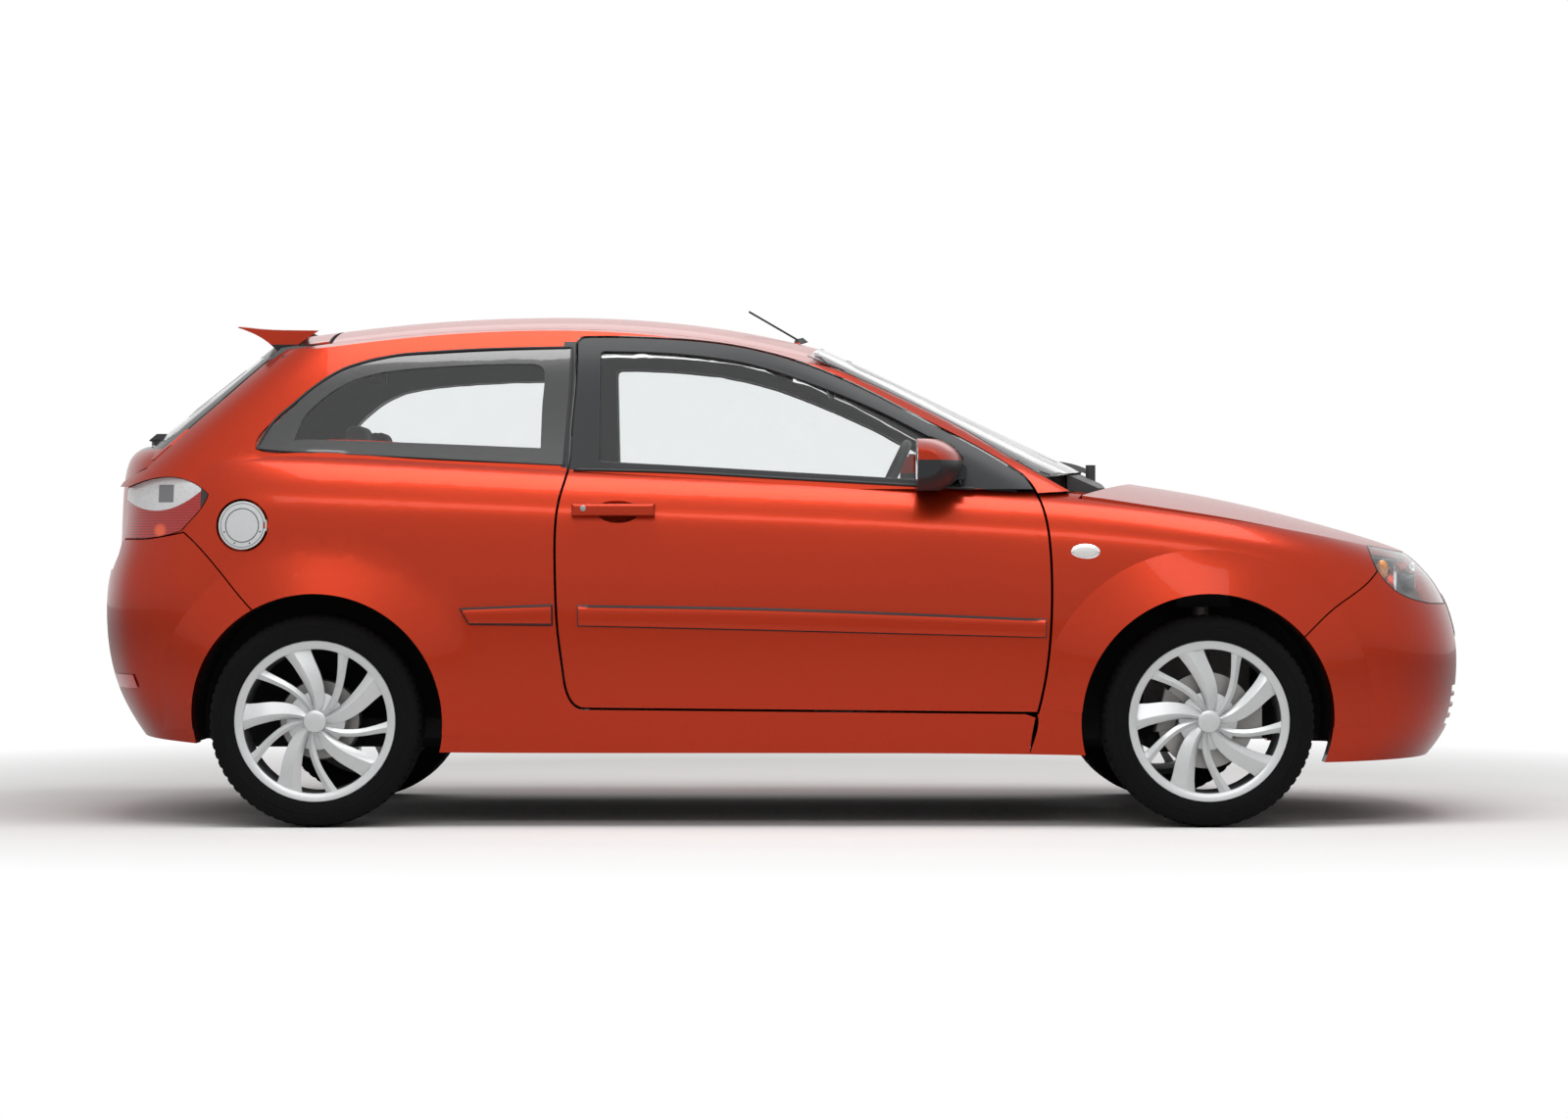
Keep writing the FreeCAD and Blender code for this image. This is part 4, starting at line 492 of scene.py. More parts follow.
def make_grille(name):
    """Black plastic mesh: lighter bars, with painted shade in the deep cells between them."""
    shader = Shader(name)
    _, y, z = shader.split()
    cells = [shader.math("ABSOLUTE", shader.math("SINE", shader.math("MULTIPLY", line, 210.0))) for line in (
        shader.math("ADD", y, z), shader.math("SUBTRACT", y, z))]
    bars = shader.ramp(shader.math("MINIMUM", *cells), 1.0, 0.0, 0.15, 0.35)
    # Painted shade: the cells go near black, the bars keep the plastic's colour.
    shader.feed("Base Color", shader.mix(bars, (0.002, 0.002, 0.002), (0.022, 0.022, 0.024)))
    return shader.feed("Roughness", shader.ramp(shader.grain(900), 0.4, 0.6)).bump(bars, 0.004, 0.8)


def make_plain_lens(name, low, high):
    shader = Shader(name).set(Coat_Weight=1.0, Coat_Roughness=0.02)
    cell = shader.grain(220)
    shader.feed("Base Color", shader.mix(cell, low, high))
    return shader.feed("Roughness", shader.ramp(cell, 0.08, 0.2))


def make_mirror_glass(name):
    shader = Shader(name).set(Metallic=1.0)
    haze = shader.grain(25)
    shader.feed("Base Color", shader.mix(haze, (0.78, 0.80, 0.82), (0.88, 0.90, 0.92)))
    return shader.feed("Roughness", shader.ramp(haze, 0.02, 0.05))


CABIN_PART = (cabin_side, CABIN_GREY, 0.62)
FINISHES = {
    "paint": make_paint,
    "door_paint": lambda name: make_paint(name, ((door_frame, TRIM_BLACK, 0.36), CABIN_PART)),
    "side_paint": lambda name: make_paint(name, ((pillar_band, TRIM_BLACK, 0.36),
                                                 (window_reveal, TRIM_BLACK, 0.5), CABIN_PART)),
    "roof_paint": lambda name: make_paint(name, ((under_roof, LINER_GREY, 0.9),
                                                 (aerial_part, TRIM_BLACK, 0.4))),
    "mirror_paint": lambda name: make_paint(name, ((mirror_foot, TRIM_BLACK, 0.45),)),
    "gate_paint": lambda name: make_paint(name, ((gate_band, (0.012, 0.013, 0.014), 0.2),
                                                 (gate_inside, CABIN_GREY, 0.6))),
    "trim": make_trim,
    "seal": lambda name: make_trim(name, (0.010, 0.010, 0.011), 1600, 0.55),
    "gloss_black": make_gloss_black,
    "glass": make_glass,
    "silver": make_silver,
    "steel": make_steel,
    "cast": make_cast,
    "dull": lambda name: make_trim(name, (0.055, 0.056, 0.058), 300, 0.6),
    "rubber": make_rubber,
    "underside": make_underside,
    "bolster": lambda name: make_cloth(name, 0.55),
    "front_cloth": lambda name: make_cloth(name, 0.6, SEAT_MIDDLE, 0.132),
    "rear_cloth": lambda name: make_cloth(name, 0.6, 0.235, 0.150),
    "mesh": make_grille,
    "lamp_grey": lambda name: make_trim(name, (0.035, 0.036, 0.039), 700, 0.35),
    "red_plain": lambda name: make_plain_lens(name, (0.30, 0.006, 0.006), (0.62, 0.014, 0.012)),
    "red_lamp": make_red_lamp,
    "lens": lambda name: make_glass(name, (0.93, 0.95, 0.96)),
    "amber": lambda name: make_plain_lens(name, (0.62, 0.16, 0.01), (0.95, 0.36, 0.03)),
    "pale_lens": lambda name: make_plain_lens(name, (0.55, 0.54, 0.52), (0.86, 0.85, 0.83)),
    "chrome": make_mirror_glass,
    "plate": lambda name: make_plain_lens(name, (0.62, 0.62, 0.60), (0.70, 0.70, 0.68)),
}
MATERIALS = {}


def finish(name):
    """A named finish, made once."""
    if name not in MATERIALS:
        MATERIALS[name] = FINISHES[name](name).material
    return MATERIALS[name]


def dress(material, *names):
    """Gives CAD nodes their finish."""
    for name in names:
        data = NODES[name].data
        data.materials.clear()
        data.materials.append(finish(material))


def both(*names):
    return [f"{name}_{side}" for name in names for _, side in SIDES]


def corners(*names):
    return [f"{name}_{end}_{side}" for name in names for _, end in AXLES for _, side in SIDES]


# Modelling helpers.
def fresh():
    """Leaves edit mode and deselects everything before a new primitive."""
    if bpy.context.object and bpy.context.object.mode != "OBJECT":
        bpy.ops.object.mode_set(mode="OBJECT")
    bpy.ops.object.select_all(action="DESELECT")


def own(piece, name, material, body, *replaced):
    """Names a finished piece, gives it its finish and lets it ride on a body."""
    piece.name = name
    piece.data.name = name
    piece.data.materials.clear()
    piece.data.materials.append(finish(material))
    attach(piece, body)
    if replaced:
        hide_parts(*replaced)
    return piece


def only(piece):
    fresh()
    piece.select_set(True)
    bpy.context.view_layer.objects.active = piece
    return piece


def modify(piece, kind, **values):
    """Adds a modifier and applies it."""
    only(piece)
    modifier = piece.modifiers.new(kind.lower(), kind)
    for name, value in values.items():
        setattr(modifier, name, value)
    bpy.ops.object.modifier_apply(modifier=modifier.name)
    return piece


def tidy_mesh(piece, weld=0.00002):
    only(piece)
    bpy.ops.object.mode_set(mode="EDIT")
    bpy.ops.mesh.select_all(action="SELECT")
    bpy.ops.mesh.remove_doubles(threshold=weld)
    bpy.ops.mesh.normals_make_consistent(inside=False)
    bpy.ops.object.mode_set(mode="OBJECT")
    return piece


def smooth(piece, angle=40):
    only(piece)
    bpy.ops.object.shade_smooth_by_angle(angle=math.radians(angle))
    return piece


def net(columns, rows, place):
    """Grid primitive whose points are carried to place(u, v), with its seams welded."""
    fresh()
    bpy.ops.mesh.primitive_grid_add(x_subdivisions=columns, y_subdivisions=rows, size=2)
    piece = bpy.context.object
    for vertex in piece.data.vertices:
        vertex.co = place((vertex.co.x + 1) / 2, (vertex.co.y + 1) / 2)
    return tidy_mesh(piece)


def block(low, high, bevel=0.003, segments=3):
    """Box between two corners with rounded edges."""
    fresh()
    middle = [(a + b) / 2 for a, b in zip(low, high)]
    bpy.ops.mesh.primitive_cube_add(size=1, location=middle)
    piece = bpy.context.object
    piece.scale = [abs(b - a) for a, b in zip(low, high)]
    settle(piece)
    if bevel:
        modify(piece, "BEVEL", width=bevel, segments=segments, limit_method="NONE")
    return piece


def drum(radius, depth, centre, axis="Y", sides=48, bevel=0.002):
    """Disc or rod about an axis, with rounded rims."""
    fresh()
    turn = {"X": (0, math.pi / 2, 0), "Y": (math.pi / 2, 0, 0), "Z": (0, 0, 0)}[axis]
    bpy.ops.mesh.primitive_cylinder_add(radius=radius, depth=depth, location=centre, rotation=turn,
                                        vertices=sides)
    piece = settle(bpy.context.object)
    if bevel:
        modify(piece, "BEVEL", width=bevel, segments=3, limit_method="ANGLE", angle_limit=math.radians(50))
    return piece


def settle(piece):
    """Brings a piece's place, turn and scale into its mesh."""
    only(piece)
    bpy.ops.object.transform_apply(location=True, rotation=True, scale=True)
    return piece


def joined(pieces):
    first = only(pieces[0])
    for piece in pieces[1:]:
        piece.select_set(True)
    if len(pieces) > 1:
        bpy.ops.object.join()
    return first


def twin(piece, name):
    """A copy with its own mesh."""
    copy = piece.copy()
    copy.data = piece.data.copy()
    copy.name = name
    bpy.context.scene.collection.objects.link(copy)
    return copy


def flipped(piece, name):
    """The piece's mirror image on the other side of the car."""
    copy = twin(piece, name)
    for vertex in copy.data.vertices:
        vertex.co.y = -vertex.co.y
    return tidy_mesh(copy)


def lathe(profile, centre, steps=96, side=-1):
    """Closed profile of (radius, outward) points turned about the wheel's axis."""
    count = len(profile)

    def place(u, v):
        angle = 2 * math.pi * u
        radius, out = profile[round(v * count) % count]
        return Vector((centre[0] + radius * math.cos(angle), centre[1] + side * out,
                       centre[2] + radius * math.sin(angle)))
    return net(steps, count, place)


def trace(points, count):
    """Points at even steps along a smooth line through a few points."""
    dense = []
    ends = [points[0], *points, points[-1]]
    for a, b, c, d in zip(ends, ends[1:], ends[2:], ends[3:]):
        for step in range(12):
            t = step / 12
            dense.append(tuple(0.5 * (2 * q + (r - p) * t + (2 * p - 5 * q + 4 * r - s) * t * t
                                      + (3 * q - p - 3 * r + s) * t ** 3) for p, q, r, s in zip(a, b, c, d)))
    dense.append(points[-1])
    lengths = [0.0]
    for a, b in zip(dense, dense[1:]):
        lengths.append(lengths[-1] + math.dist(a, b))
    result = []
    at = 0
    for step in range(count + 1):
        goal = lengths[-1] * step / count
        while at < len(lengths) - 2 and lengths[at + 1] < goal:
            at += 1
        span = lengths[at + 1] - lengths[at] or 1.0
        share = min(1.0, (goal - lengths[at]) / span)
        result.append(tuple(a + (b - a) * share for a, b in zip(dense[at], dense[at + 1])))
    return result


class Skin:
    """Outer surface of some CAD nodes, met by straight lines from outside."""

    def __init__(self, *names):
        vertices, faces = [], []
        for name in names:
            data = NODES[name].data
            start = len(vertices)
            vertices += [vertex.co.copy() for vertex in data.vertices]
            faces += [[start + index for index in polygon.vertices] for polygon in data.polygons]
        self.tree = BVHTree.FromPolygons(vertices, faces)

    def meet(self, start, way, lift=0.0):
        hit, normal, _, _ = self.tree.ray_cast(Vector(start), Vector(way))
        if hit is None:
            hit, normal, _, _ = self.tree.find_nearest(Vector(start) + Vector(way) * 1.2)
        if normal.dot(Vector(way)) > 0:
            normal = -normal
        return hit + normal * lift

    def side(self, x, z, side=-1, lift=0.0):
        return self.meet((x, side * 2.0, z), (0, -side, 0), lift)

    def front(self, y, z, lift=0.0):
        return self.meet((3.0, y, z), (-1, 0, 0), lift)

    def rear(self, y, z, lift=0.0):
        return self.meet((-3.0, y, z), (1, 0, 0), lift)

    def top(self, x, y, lift=0.0):
        return self.meet((x, y, 3.0), (0, 0, -1), lift)


def cord_of_rubber(points, radius, closed=False, sides=8):
    """Tube along points that follow a surface."""
    fresh()
    data = bpy.data.curves.new("strip", "CURVE")
    data.dimensions = "3D"
    data.bevel_depth = radius
    data.bevel_resolution = sides // 4
    data.use_fill_caps = not closed
    spline = data.splines.new("POLY")
    spline.points.add(len(points) - 1)
    for point, place in zip(spline.points, points):
        point.co = (*place, 1.0)
    spline.use_cyclic_u = closed
    piece = bpy.data.objects.new("strip", data)
    bpy.context.scene.collection.objects.link(piece)
    only(piece)
    bpy.ops.object.convert(target="MESH")
    return tidy_mesh(bpy.context.object)


def band(outer, inner, columns, rows, lay, thickness):
    """Sheet between two lines, laid on a surface by lay(a, b), with a thickness."""
    outside, inside = trace(outer, columns), trace(inner, columns)

    def place(u, v):
        at = min(columns, round(u * columns))
        a, b = (p + (q - p) * v for p, q in zip(outside[at], inside[at]))
        return lay(a, b)
    piece = net(columns, rows, place)
    return modify(piece, "SOLIDIFY", thickness=thickness, offset=0.0)


def from_points(points, faces):
    """New piece from its points and faces."""
    data = bpy.data.meshes.new("piece")
    data.from_pydata(points, [], faces)
    piece = bpy.data.objects.new("piece", data)
    bpy.context.scene.collection.objects.link(piece)
    return piece


def without_loose(piece):
    """Clears points that no face uses."""
    only(piece)
    bpy.ops.object.mode_set(mode="EDIT")
    bpy.ops.mesh.select_all(action="SELECT")
    bpy.ops.mesh.delete_loose()
    bpy.ops.object.mode_set(mode="OBJECT")
    return piece


def part_sheet(node, keep):
    """Open sheet from the faces of a CAD node that keep(normal, centre) picks."""
    source = NODES[node].data
    faces = [tuple(face.vertices) for face in source.polygons if keep(face.normal, face.center)]
    piece = without_loose(from_points([tuple(vertex.co) for vertex in source.vertices], faces))
    bpy.ops.object.mode_set(mode="EDIT")
    bpy.ops.mesh.select_all(action="SELECT")
    bpy.ops.mesh.remove_doubles(threshold=0.00002)
    bpy.ops.object.mode_set(mode="OBJECT")
    return piece


def tray(sheet, shift):
    """Open box: the sheet moved back by shift, with a wall from its edge to where it was."""
    data = sheet.data
    count = len(data.vertices)
    spots = [vertex.co.copy() for vertex in data.vertices]
    faces = [tuple(face.vertices) for face in data.polygons]
    sides = [(a, b) for face in faces for a, b in zip(face, face[1:] + face[:1])]
    known = set(sides)
    walls = [(a, b, b + count, a + count) for a, b in sides if (b, a) not in known]
    back = [tuple(index + count for index in face) for face in faces]
    piece = from_points(spots + [spot + shift for spot in spots], back + walls)
    bpy.data.objects.remove(sheet)
    return tidy_mesh(without_loose(piece))


def prism(half_line, first, last):
    """Closed prism along the car over a front view outline, given by its left half."""
    line = list(half_line) + [(-y, z) for y, z in half_line[::-1] if y]
    count = len(line)
    faces = [tuple(range(count)), tuple(range(count, 2 * count))]
    faces += [(k, (k + 1) % count, count + (k + 1) % count, count + k) for k in range(count)]
    return tidy_mesh(from_points([(x, y, z) for x in (first, last) for y, z in line], faces))


# Strength of the studio's light from all round, next to 1 for its white backdrop.
SKY_STRENGTH = 0.43


# Operators, one for each piece or group of like pieces.
class HATCH_OT_stage(bpy.types.Operator):
    """Set out the pale floor, the soft lights and the camera"""
    bl_idname = "hatch.stage"
    bl_label = "Stage"

    def execute(self, context):
        scene = context.scene
        view = scene.hatch_stage
        camera = bpy.data.cameras.new("camera")
        camera.lens = view.lens
        camera.sensor_width = 36
        camera.clip_end = 300
        holder = bpy.data.objects.new("camera", camera)
        holder.location = (0, -view.distance, view.height)
        holder.rotation_euler = (math.radians(90), 0, 0)
        scene.collection.objects.link(holder)
        scene.camera = holder
        scene.view_settings.view_transform = "Standard"
        fresh()
        bpy.ops.mesh.primitive_grid_add(x_subdivisions=40, y_subdivisions=40, size=160)
        floor = bpy.context.object
        floor.name = "floor"
        floor.data.materials.append(self.floor_finish())
        self.light_world(scene)
        # Name, place, size in metres and power in watts.
        for name, place, size, power in (("top_light", (0.3, -1.3, 4.6), (5.2, 2.0), 175),
                                         ("side_light", (0, -6.5, 4.6), (7.0, 1.2), 95),
                                         ("far_light", (0, 5.5, 4.0), (7.0, 1.5), 30)):
            lamp = bpy.data.lights.new(name, "AREA")
            lamp.shape = "RECTANGLE"
            lamp.size, lamp.size_y = size
            lamp.energy = power
            holder = bpy.data.objects.new(name, lamp)
            holder.location = place
            holder.rotation_euler = (Vector((0, 0, 0.6)) - Vector(place)).to_track_quat("-Z", "Y").to_euler()
            scene.collection.objects.link(holder)
        return {"FINISHED"}

    def floor_finish(self):
        """White floor that keeps the shadow near the car and runs into the white backdrop further out."""
        shader = Shader("floor")
        shader.set(Roughness=1.0, Specular_IOR_Level=0.0)
        x, y, _ = shader.split()
        y = shader.math("MAXIMUM", shader.math("MULTIPLY", y, 0.5), shader.math("MULTIPLY", y, -1.0))
        squares = [shader.math("POWER", way, 2.0) for way in (shader.math("MULTIPLY", x, 0.62), y)]
        far = shader.math("SQRT", shader.math("ADD", *squares))
        open_floor = shader.ramp(far, 0.0, 1.0, 1.5, 2.6)
        shade = shader.mix(shader.grain(3), (0.78, 0.775, 0.77), (0.82, 0.815, 0.81))
        shader.feed("Base Color", shade)
        seen = shader.add("ShaderNodeLightPath")
        direct = shader.math("MAXIMUM", seen.outputs["Is Camera Ray"], seen.outputs["Is Transmission Ray"])
        glow = shader.add("ShaderNodeEmission")
        blend = shader.add("ShaderNodeMixShader")
        shader.join(shader.math("MULTIPLY", open_floor, direct), blend.inputs[0])
        shader.join(shader.surface.outputs[0], blend.inputs[1])
        shader.join(glow.outputs[0], blend.inputs[2])
        glow.inputs["Color"].default_value = (1, 1, 1, 1)
        shader.join(blend.outputs[0], shader.output.inputs[0])
        return shader.material

    def light_world(self, scene):
        """Soft studio light, with a white backdrop for what the camera, metal and glass see."""
        world = bpy.data.worlds.new("studio")
        scene.world = world
        world.use_nodes = True
        tree = world.node_tree
        tree.nodes.clear()
        path = tree.nodes.new("ShaderNodeLightPath")
        seen = tree.nodes.new("ShaderNodeMath")
        seen.operation = "MAXIMUM"
        tree.links.new(path.outputs["Is Camera Ray"], seen.inputs[0])
        tree.links.new(path.outputs["Is Transmission Ray"], seen.inputs[1])
        shown = tree.nodes.new("ShaderNodeMath")
        shown.operation = "MAXIMUM"
        tree.links.new(seen.outputs[0], shown.inputs[0])
        tree.links.new(path.outputs["Is Glossy Ray"], shown.inputs[1])
        strength = tree.nodes.new("ShaderNodeMapRange")
        strength.inputs["To Min"].default_value = SKY_STRENGTH
        strength.inputs["To Max"].default_value = 1.0
        tree.links.new(shown.outputs[0], strength.inputs["Value"])
        back = tree.nodes.new("ShaderNodeBackground")
        back.inputs["Color"].default_value = (1, 1, 1, 1)
        tree.links.new(strength.outputs[0], back.inputs["Strength"])
        out = tree.nodes.new("ShaderNodeOutputWorld")
        tree.links.new(back.outputs[0], out.inputs[0])


# Half outline of the windscreen's opening as (side, height).
SCREEN_OPENING = ((0.0, 0.992), (0.620, 0.992), (0.602, 1.046), (0.578, 1.087), (0.564, 1.127), (0.556, 1.168),
                  (0.553, 1.208), (0.549, 1.249), (0.541, 1.289), (0.541, 1.420), (0.0, 1.420))


class HATCH_OT_bodywork(bpy.types.Operator):
    """Paint the body panels, with their black window surrounds and grey linings"""
    bl_idname = "hatch.bodywork"
    bl_label = "Bodywork"

    def execute(self, context):
        dress("paint", *both("fender"), "bonnet", "front_bumper", "rear_bumper")
        dress("roof_paint", "roof_panel")
        dress("door_paint", *both("door"))
        self.side_panels()
        dress("mirror_paint", *both("mirror"))
        dress("gate_paint", "tailgate")
        dress("silver", "fuel_flap")
        dress("glass", *both("door_glass", "quarter_glass"), "windscreen", "tailgate_glass")
        dress("underside", "floor_pan", "rear_beam", "exhaust")
        dress("cast", *both("knuckle"), "engine_block")
        dress("trim", "dashboard", "steering_wheel", "cowl", "rear_wiper")
        dress("red_lamp", *both("tail_lamp"))
        return {"FINISHED"}

    def side_panels(self):
        """The body sides, with the windscreen's opening cut free up to a narrow flange."""
        for _, side in SIDES:
            node = f"body_side_{side}"
            panel = part_sheet(node, lambda normal, centre: True)
            opening = prism(SCREEN_OPENING, 0.030, 1.200)
            modify(panel, "BOOLEAN", object=opening, operation="DIFFERENCE", solver="EXACT")
            bpy.data.objects.remove(opening)
            own(smooth(panel, 30), f"side_panel_{side}", "side_paint", "chassis", node)


def rim_line(pane, loop, sign, lift):
    """Line round a pane's edge, level with the glass just inside it."""
    middle = [sum(values) / len(loop) for values in zip(*loop)]
    line = []
    for x, z in loop:
        reach = math.dist((x, z), middle)
        step = 0.007 / reach
        inside = pane.side(x + (middle[0] - x) * step, z + (middle[1] - z) * step, sign, lift)
        line.append((x, inside.y, z))
    return line


class HATCH_OT_window_trim(bpy.types.Operator):
    """Lay the black printed bands and rubber seals round the side windows, and the waist strips on the doors"""
    bl_idname = "hatch.window_trim"
    bl_label = "Window trim"

    def execute(self, context):
        for sign, side in SIDES:
            glass = Skin(f"quarter_glass_{side}")
            runs = []
            for outer, inner in zip(QUARTER_EDGE, QUARTER_WINDOW):
                runs.append(band(outer, inner, 60, 6, lambda a, b: glass.side(a, b, sign, 0.0006), 0.0008))
            frit = smooth(tidy_mesh(joined(runs), 0.0002), 60)
            own(frit, f"quarter_frit_{side}", "gloss_black", "chassis")
            loop = [point for run in QUARTER_EDGE for point in trace(run, 50)[:-1]]
            seal = cord_of_rubber(rim_line(glass, loop, sign, 0.0015), 0.0035, True)
            own(seal, f"quarter_seal_{side}", "seal", "chassis")
            door = Skin(f"door_{side}", f"door_glass_{side}")
            body = f"door_{side}"
            pane = Skin(f"door_glass_{side}")
            loop = trace((*DOOR_WINDOW, DOOR_WINDOW[0]), 160)[:-1]
            seal = cord_of_rubber(rim_line(pane, loop, sign, 0.002), 0.0045, True)
            own(seal, f"window_seal_{side}", "seal", body)
            waist = ((-0.578, 0.9785), (-0.300, 0.9715), (0.0, 0.9545), (0.300, 0.9380), (0.486, 0.9275),
                     (0.640, 0.9195))
            strip = cord_of_rubber([door.side(a, b, sign, 0.001) for a, b in trace(waist, 80)], 0.0045)
            own(strip, f"waist_strip_{side}", "seal", body)
        return {"FINISHED"}


# Half outlines of the two end glasses as (side, height), each with the printed band's inner edge.
WINDSCREEN_EDGE = (
    (0.0, 0.9795), (0.300, 0.9770), (0.600, 0.9660), (0.681, 0.9640), (0.663, 1.006), (0.640, 1.046),
    (0.6165, 1.087), (0.601, 1.127), (0.5905, 1.208), (0.5860, 1.249), (0.576, 1.289), (0.500, 1.3200),
    (0.400, 1.3275), (0.0, 1.3345),
)
WINDSCREEN_VIEW = (
    (0.0, 1.0080), (0.300, 1.0060), (0.560, 1.0010), (0.6150, 1.010), (0.6010, 1.046), (0.5880, 1.075),
    (0.5740, 1.105), (0.5620, 1.135), (0.5500, 1.195), (0.5400, 1.235), (0.520, 1.262), (0.470, 1.2840),
    (0.400, 1.2920), (0.0, 1.3000),
)
GATE_EDGE = (
    (0.0, 1.0635), (0.300, 1.0635), (0.5370, 1.0650), (0.5470, 1.080), (0.5390, 1.120), (0.5235, 1.174),
    (0.5040, 1.227), (0.4820, 1.281), (0.4680, 1.297), (0.300, 1.3050), (0.0, 1.3105),
)
GATE_VIEW = (
    (0.0, 1.0950), (0.300, 1.0950), (0.4800, 1.0970), (0.4960, 1.110), (0.4900, 1.135), (0.4760, 1.174),
    (0.4580, 1.215), (0.4400, 1.252), (0.4200, 1.265), (0.300, 1.2700), (0.0, 1.2750),
)
HEATER_WIRES = 9
HEATER_PITCH = 0.0175


class HATCH_OT_end_glass(bpy.types.Operator):
    """Lay the printed black bands round the windscreen and the rear glass, and the heater lines"""
    bl_idname = "hatch.end_glass"
    bl_label = "End glass bands"

    def execute(self, context):
        for node, edge, view, body, rear in (("windscreen", WINDSCREEN_EDGE, WINDSCREEN_VIEW, "chassis", False),
                                             ("tailgate_glass", GATE_EDGE, GATE_VIEW, "tailgate", True)):
            glass = Skin(node)
            meet = glass.rear if rear else glass.front
            outer, inner = self.round_line(edge), self.round_line(view)
            count = len(outer)

            def place(u, v):
                at = round(u * count) % count
                (ay, az), (by, bz) = outer[at], inner[at]
                return meet(ay + (by - ay) * v, az + (bz - az) * v, 0.0010)
            print_band = modify(net(count, 8, place), "SOLIDIFY", thickness=0.0008, offset=0.0)
            own(smooth(print_band, 60), f"{node}_band", "gloss_black", body)
        glass = Skin("tailgate_glass")
        wires = []
        for k in range(HEATER_WIRES):
            height = 1.112 + HEATER_PITCH * k
            wires.append(cord_of_rubber([glass.meet((-1.2, -0.44 + 0.022 * step, height), (-1, 0, 0), 0.0008)
                                         for step in range(41)], 0.0006, sides=4))
        own(joined(wires), "heater_wires", "seal", "tailgate")
        return {"FINISHED"}

    def round_line(self, half):
        """Closed line from a half outline, in even steps."""
        line = trace(half, 60)
        return line[:-1] + [(-y, z) for y, z in line[::-1]][:-1]


# Radius and outward distance past which the shoulder's blocks begin, and the radius of their notches.
SHOULDER = (0.2860, 0.050)
NOTCH_RADIUS = 0.2835


class HATCH_OT_tyres(bpy.types.Operator):
    """Turn the tyres, with grooves, shoulder blocks and side wall rings"""
    bl_idname = "hatch.tyres"
    bl_label = "Tyres"

    def execute(self, context):
        # Side wall and half of the tread as (radius, outward) points; the grooves' middles follow.
        half = [(0.2215, 0.0800), (0.2235, 0.0890), (0.2300, 0.0935), (0.2450, 0.0965), (0.2520, 0.0974),
                (0.2540, 0.0962), (0.2575, 0.0962), (0.2595, 0.0973), (0.2680, 0.0962), (0.2760, 0.0930),
                (0.2825, 0.0870), (0.2868, 0.0790), (0.2886, 0.0720)]
        tread = []
        for middle in (0.048, 0.016):
            tread += [(0.2897, middle + 0.005), (0.2830, middle + 0.0035), (0.2830, middle - 0.0035),
                      (0.2897, middle - 0.005)]
        right = half + tread
        outside = right + [(radius, -out) for radius, out in right[::-1]]
        inside = [(0.2150, -0.0790), (0.2450, -0.0860), (0.2740, -0.0700), (0.2780, 0.0), (0.2740, 0.0700),
                  (0.2450, 0.0860), (0.2150, 0.0790)]
        profile = outside + inside
        blocks = context.scene.hatch_wheel.blocks
        steps = blocks * 4
        for x, end in AXLES:
            for sign, side in SIDES:
                tyre = lathe(profile, (x, sign * WHEEL_CENTRE, HUB_HEIGHT), steps, sign)
                for vertex in tyre.data.vertices:
                    place = vertex.co - Vector((x, sign * WHEEL_CENTRE, HUB_HEIGHT))
                    radius = math.hypot(place.x, place.z)
                    turn = round(math.atan2(place.z, place.x) / (2 * math.pi) * steps)
                    if SHOULDER[0] < radius and SHOULDER[1] < abs(place.y) and turn % 4 == 0:
                        share = NOTCH_RADIUS / radius
                        vertex.co.x = x + place.x * share
                        vertex.co.z = HUB_HEIGHT + place.z * share
                smooth(tyre, 32)
                own(tyre, f"tyre_tread_{end}_{side}", "rubber", f"wheel_{end}_{side}", f"tyre_{end}_{side}")
        return {"FINISHED"}


def blade(angle, sweep, radii, widths, crest, centre, face, depth, side, lean):
    """Swirling spoke with a crowned, creased face, from the hub to the outer ring."""
    rows = 8

    def place(u, v):
        at = u * (len(radii) - 1)
        low = min(len(radii) - 2, int(at))
        part = at - low
        radius = radii[low] + (radii[low + 1] - radii[low]) * part
        width = widths[low] + (widths[low + 1] - widths[low]) * part
        share = (radius - radii[0]) / (radii[-1] - radii[0])
        turn = math.radians(angle - sweep * (1 - share) ** 1.4)
        loop = v * 2
        front = loop <= 1
        across = (loop if front else 2 - loop) * 2 - 1
        ridge = max(0.0, 1 - abs(across - lean) / (1 - lean * (1 if across > lean else -1)))
        out = face(share) + (crest * (ridge - 1) if front else -depth)
        middle = Vector((math.cos(turn), 0, math.sin(turn))) * radius
        beside = Vector((-math.sin(turn), 0, math.cos(turn))) * (across * width / 2)
        spot = middle + beside
        return Vector((centre[0] + spot.x, centre[1] + side * out, centre[2] + spot.z))
    return net(20, rows * 2, place)


# Radii along a spoke, with the widths of a wide and of a slim one there.
SPOKE_RADII = (0.030, 0.060, 0.090, 0.130, 0.165, 0.190, 0.203)
WIDE_SPOKE = (0.026, 0.038, 0.048, 0.057, 0.062, 0.070, 0.088)
SLIM_SPOKE = (0.016, 0.019, 0.021, 0.022, 0.025, 0.029, 0.038)


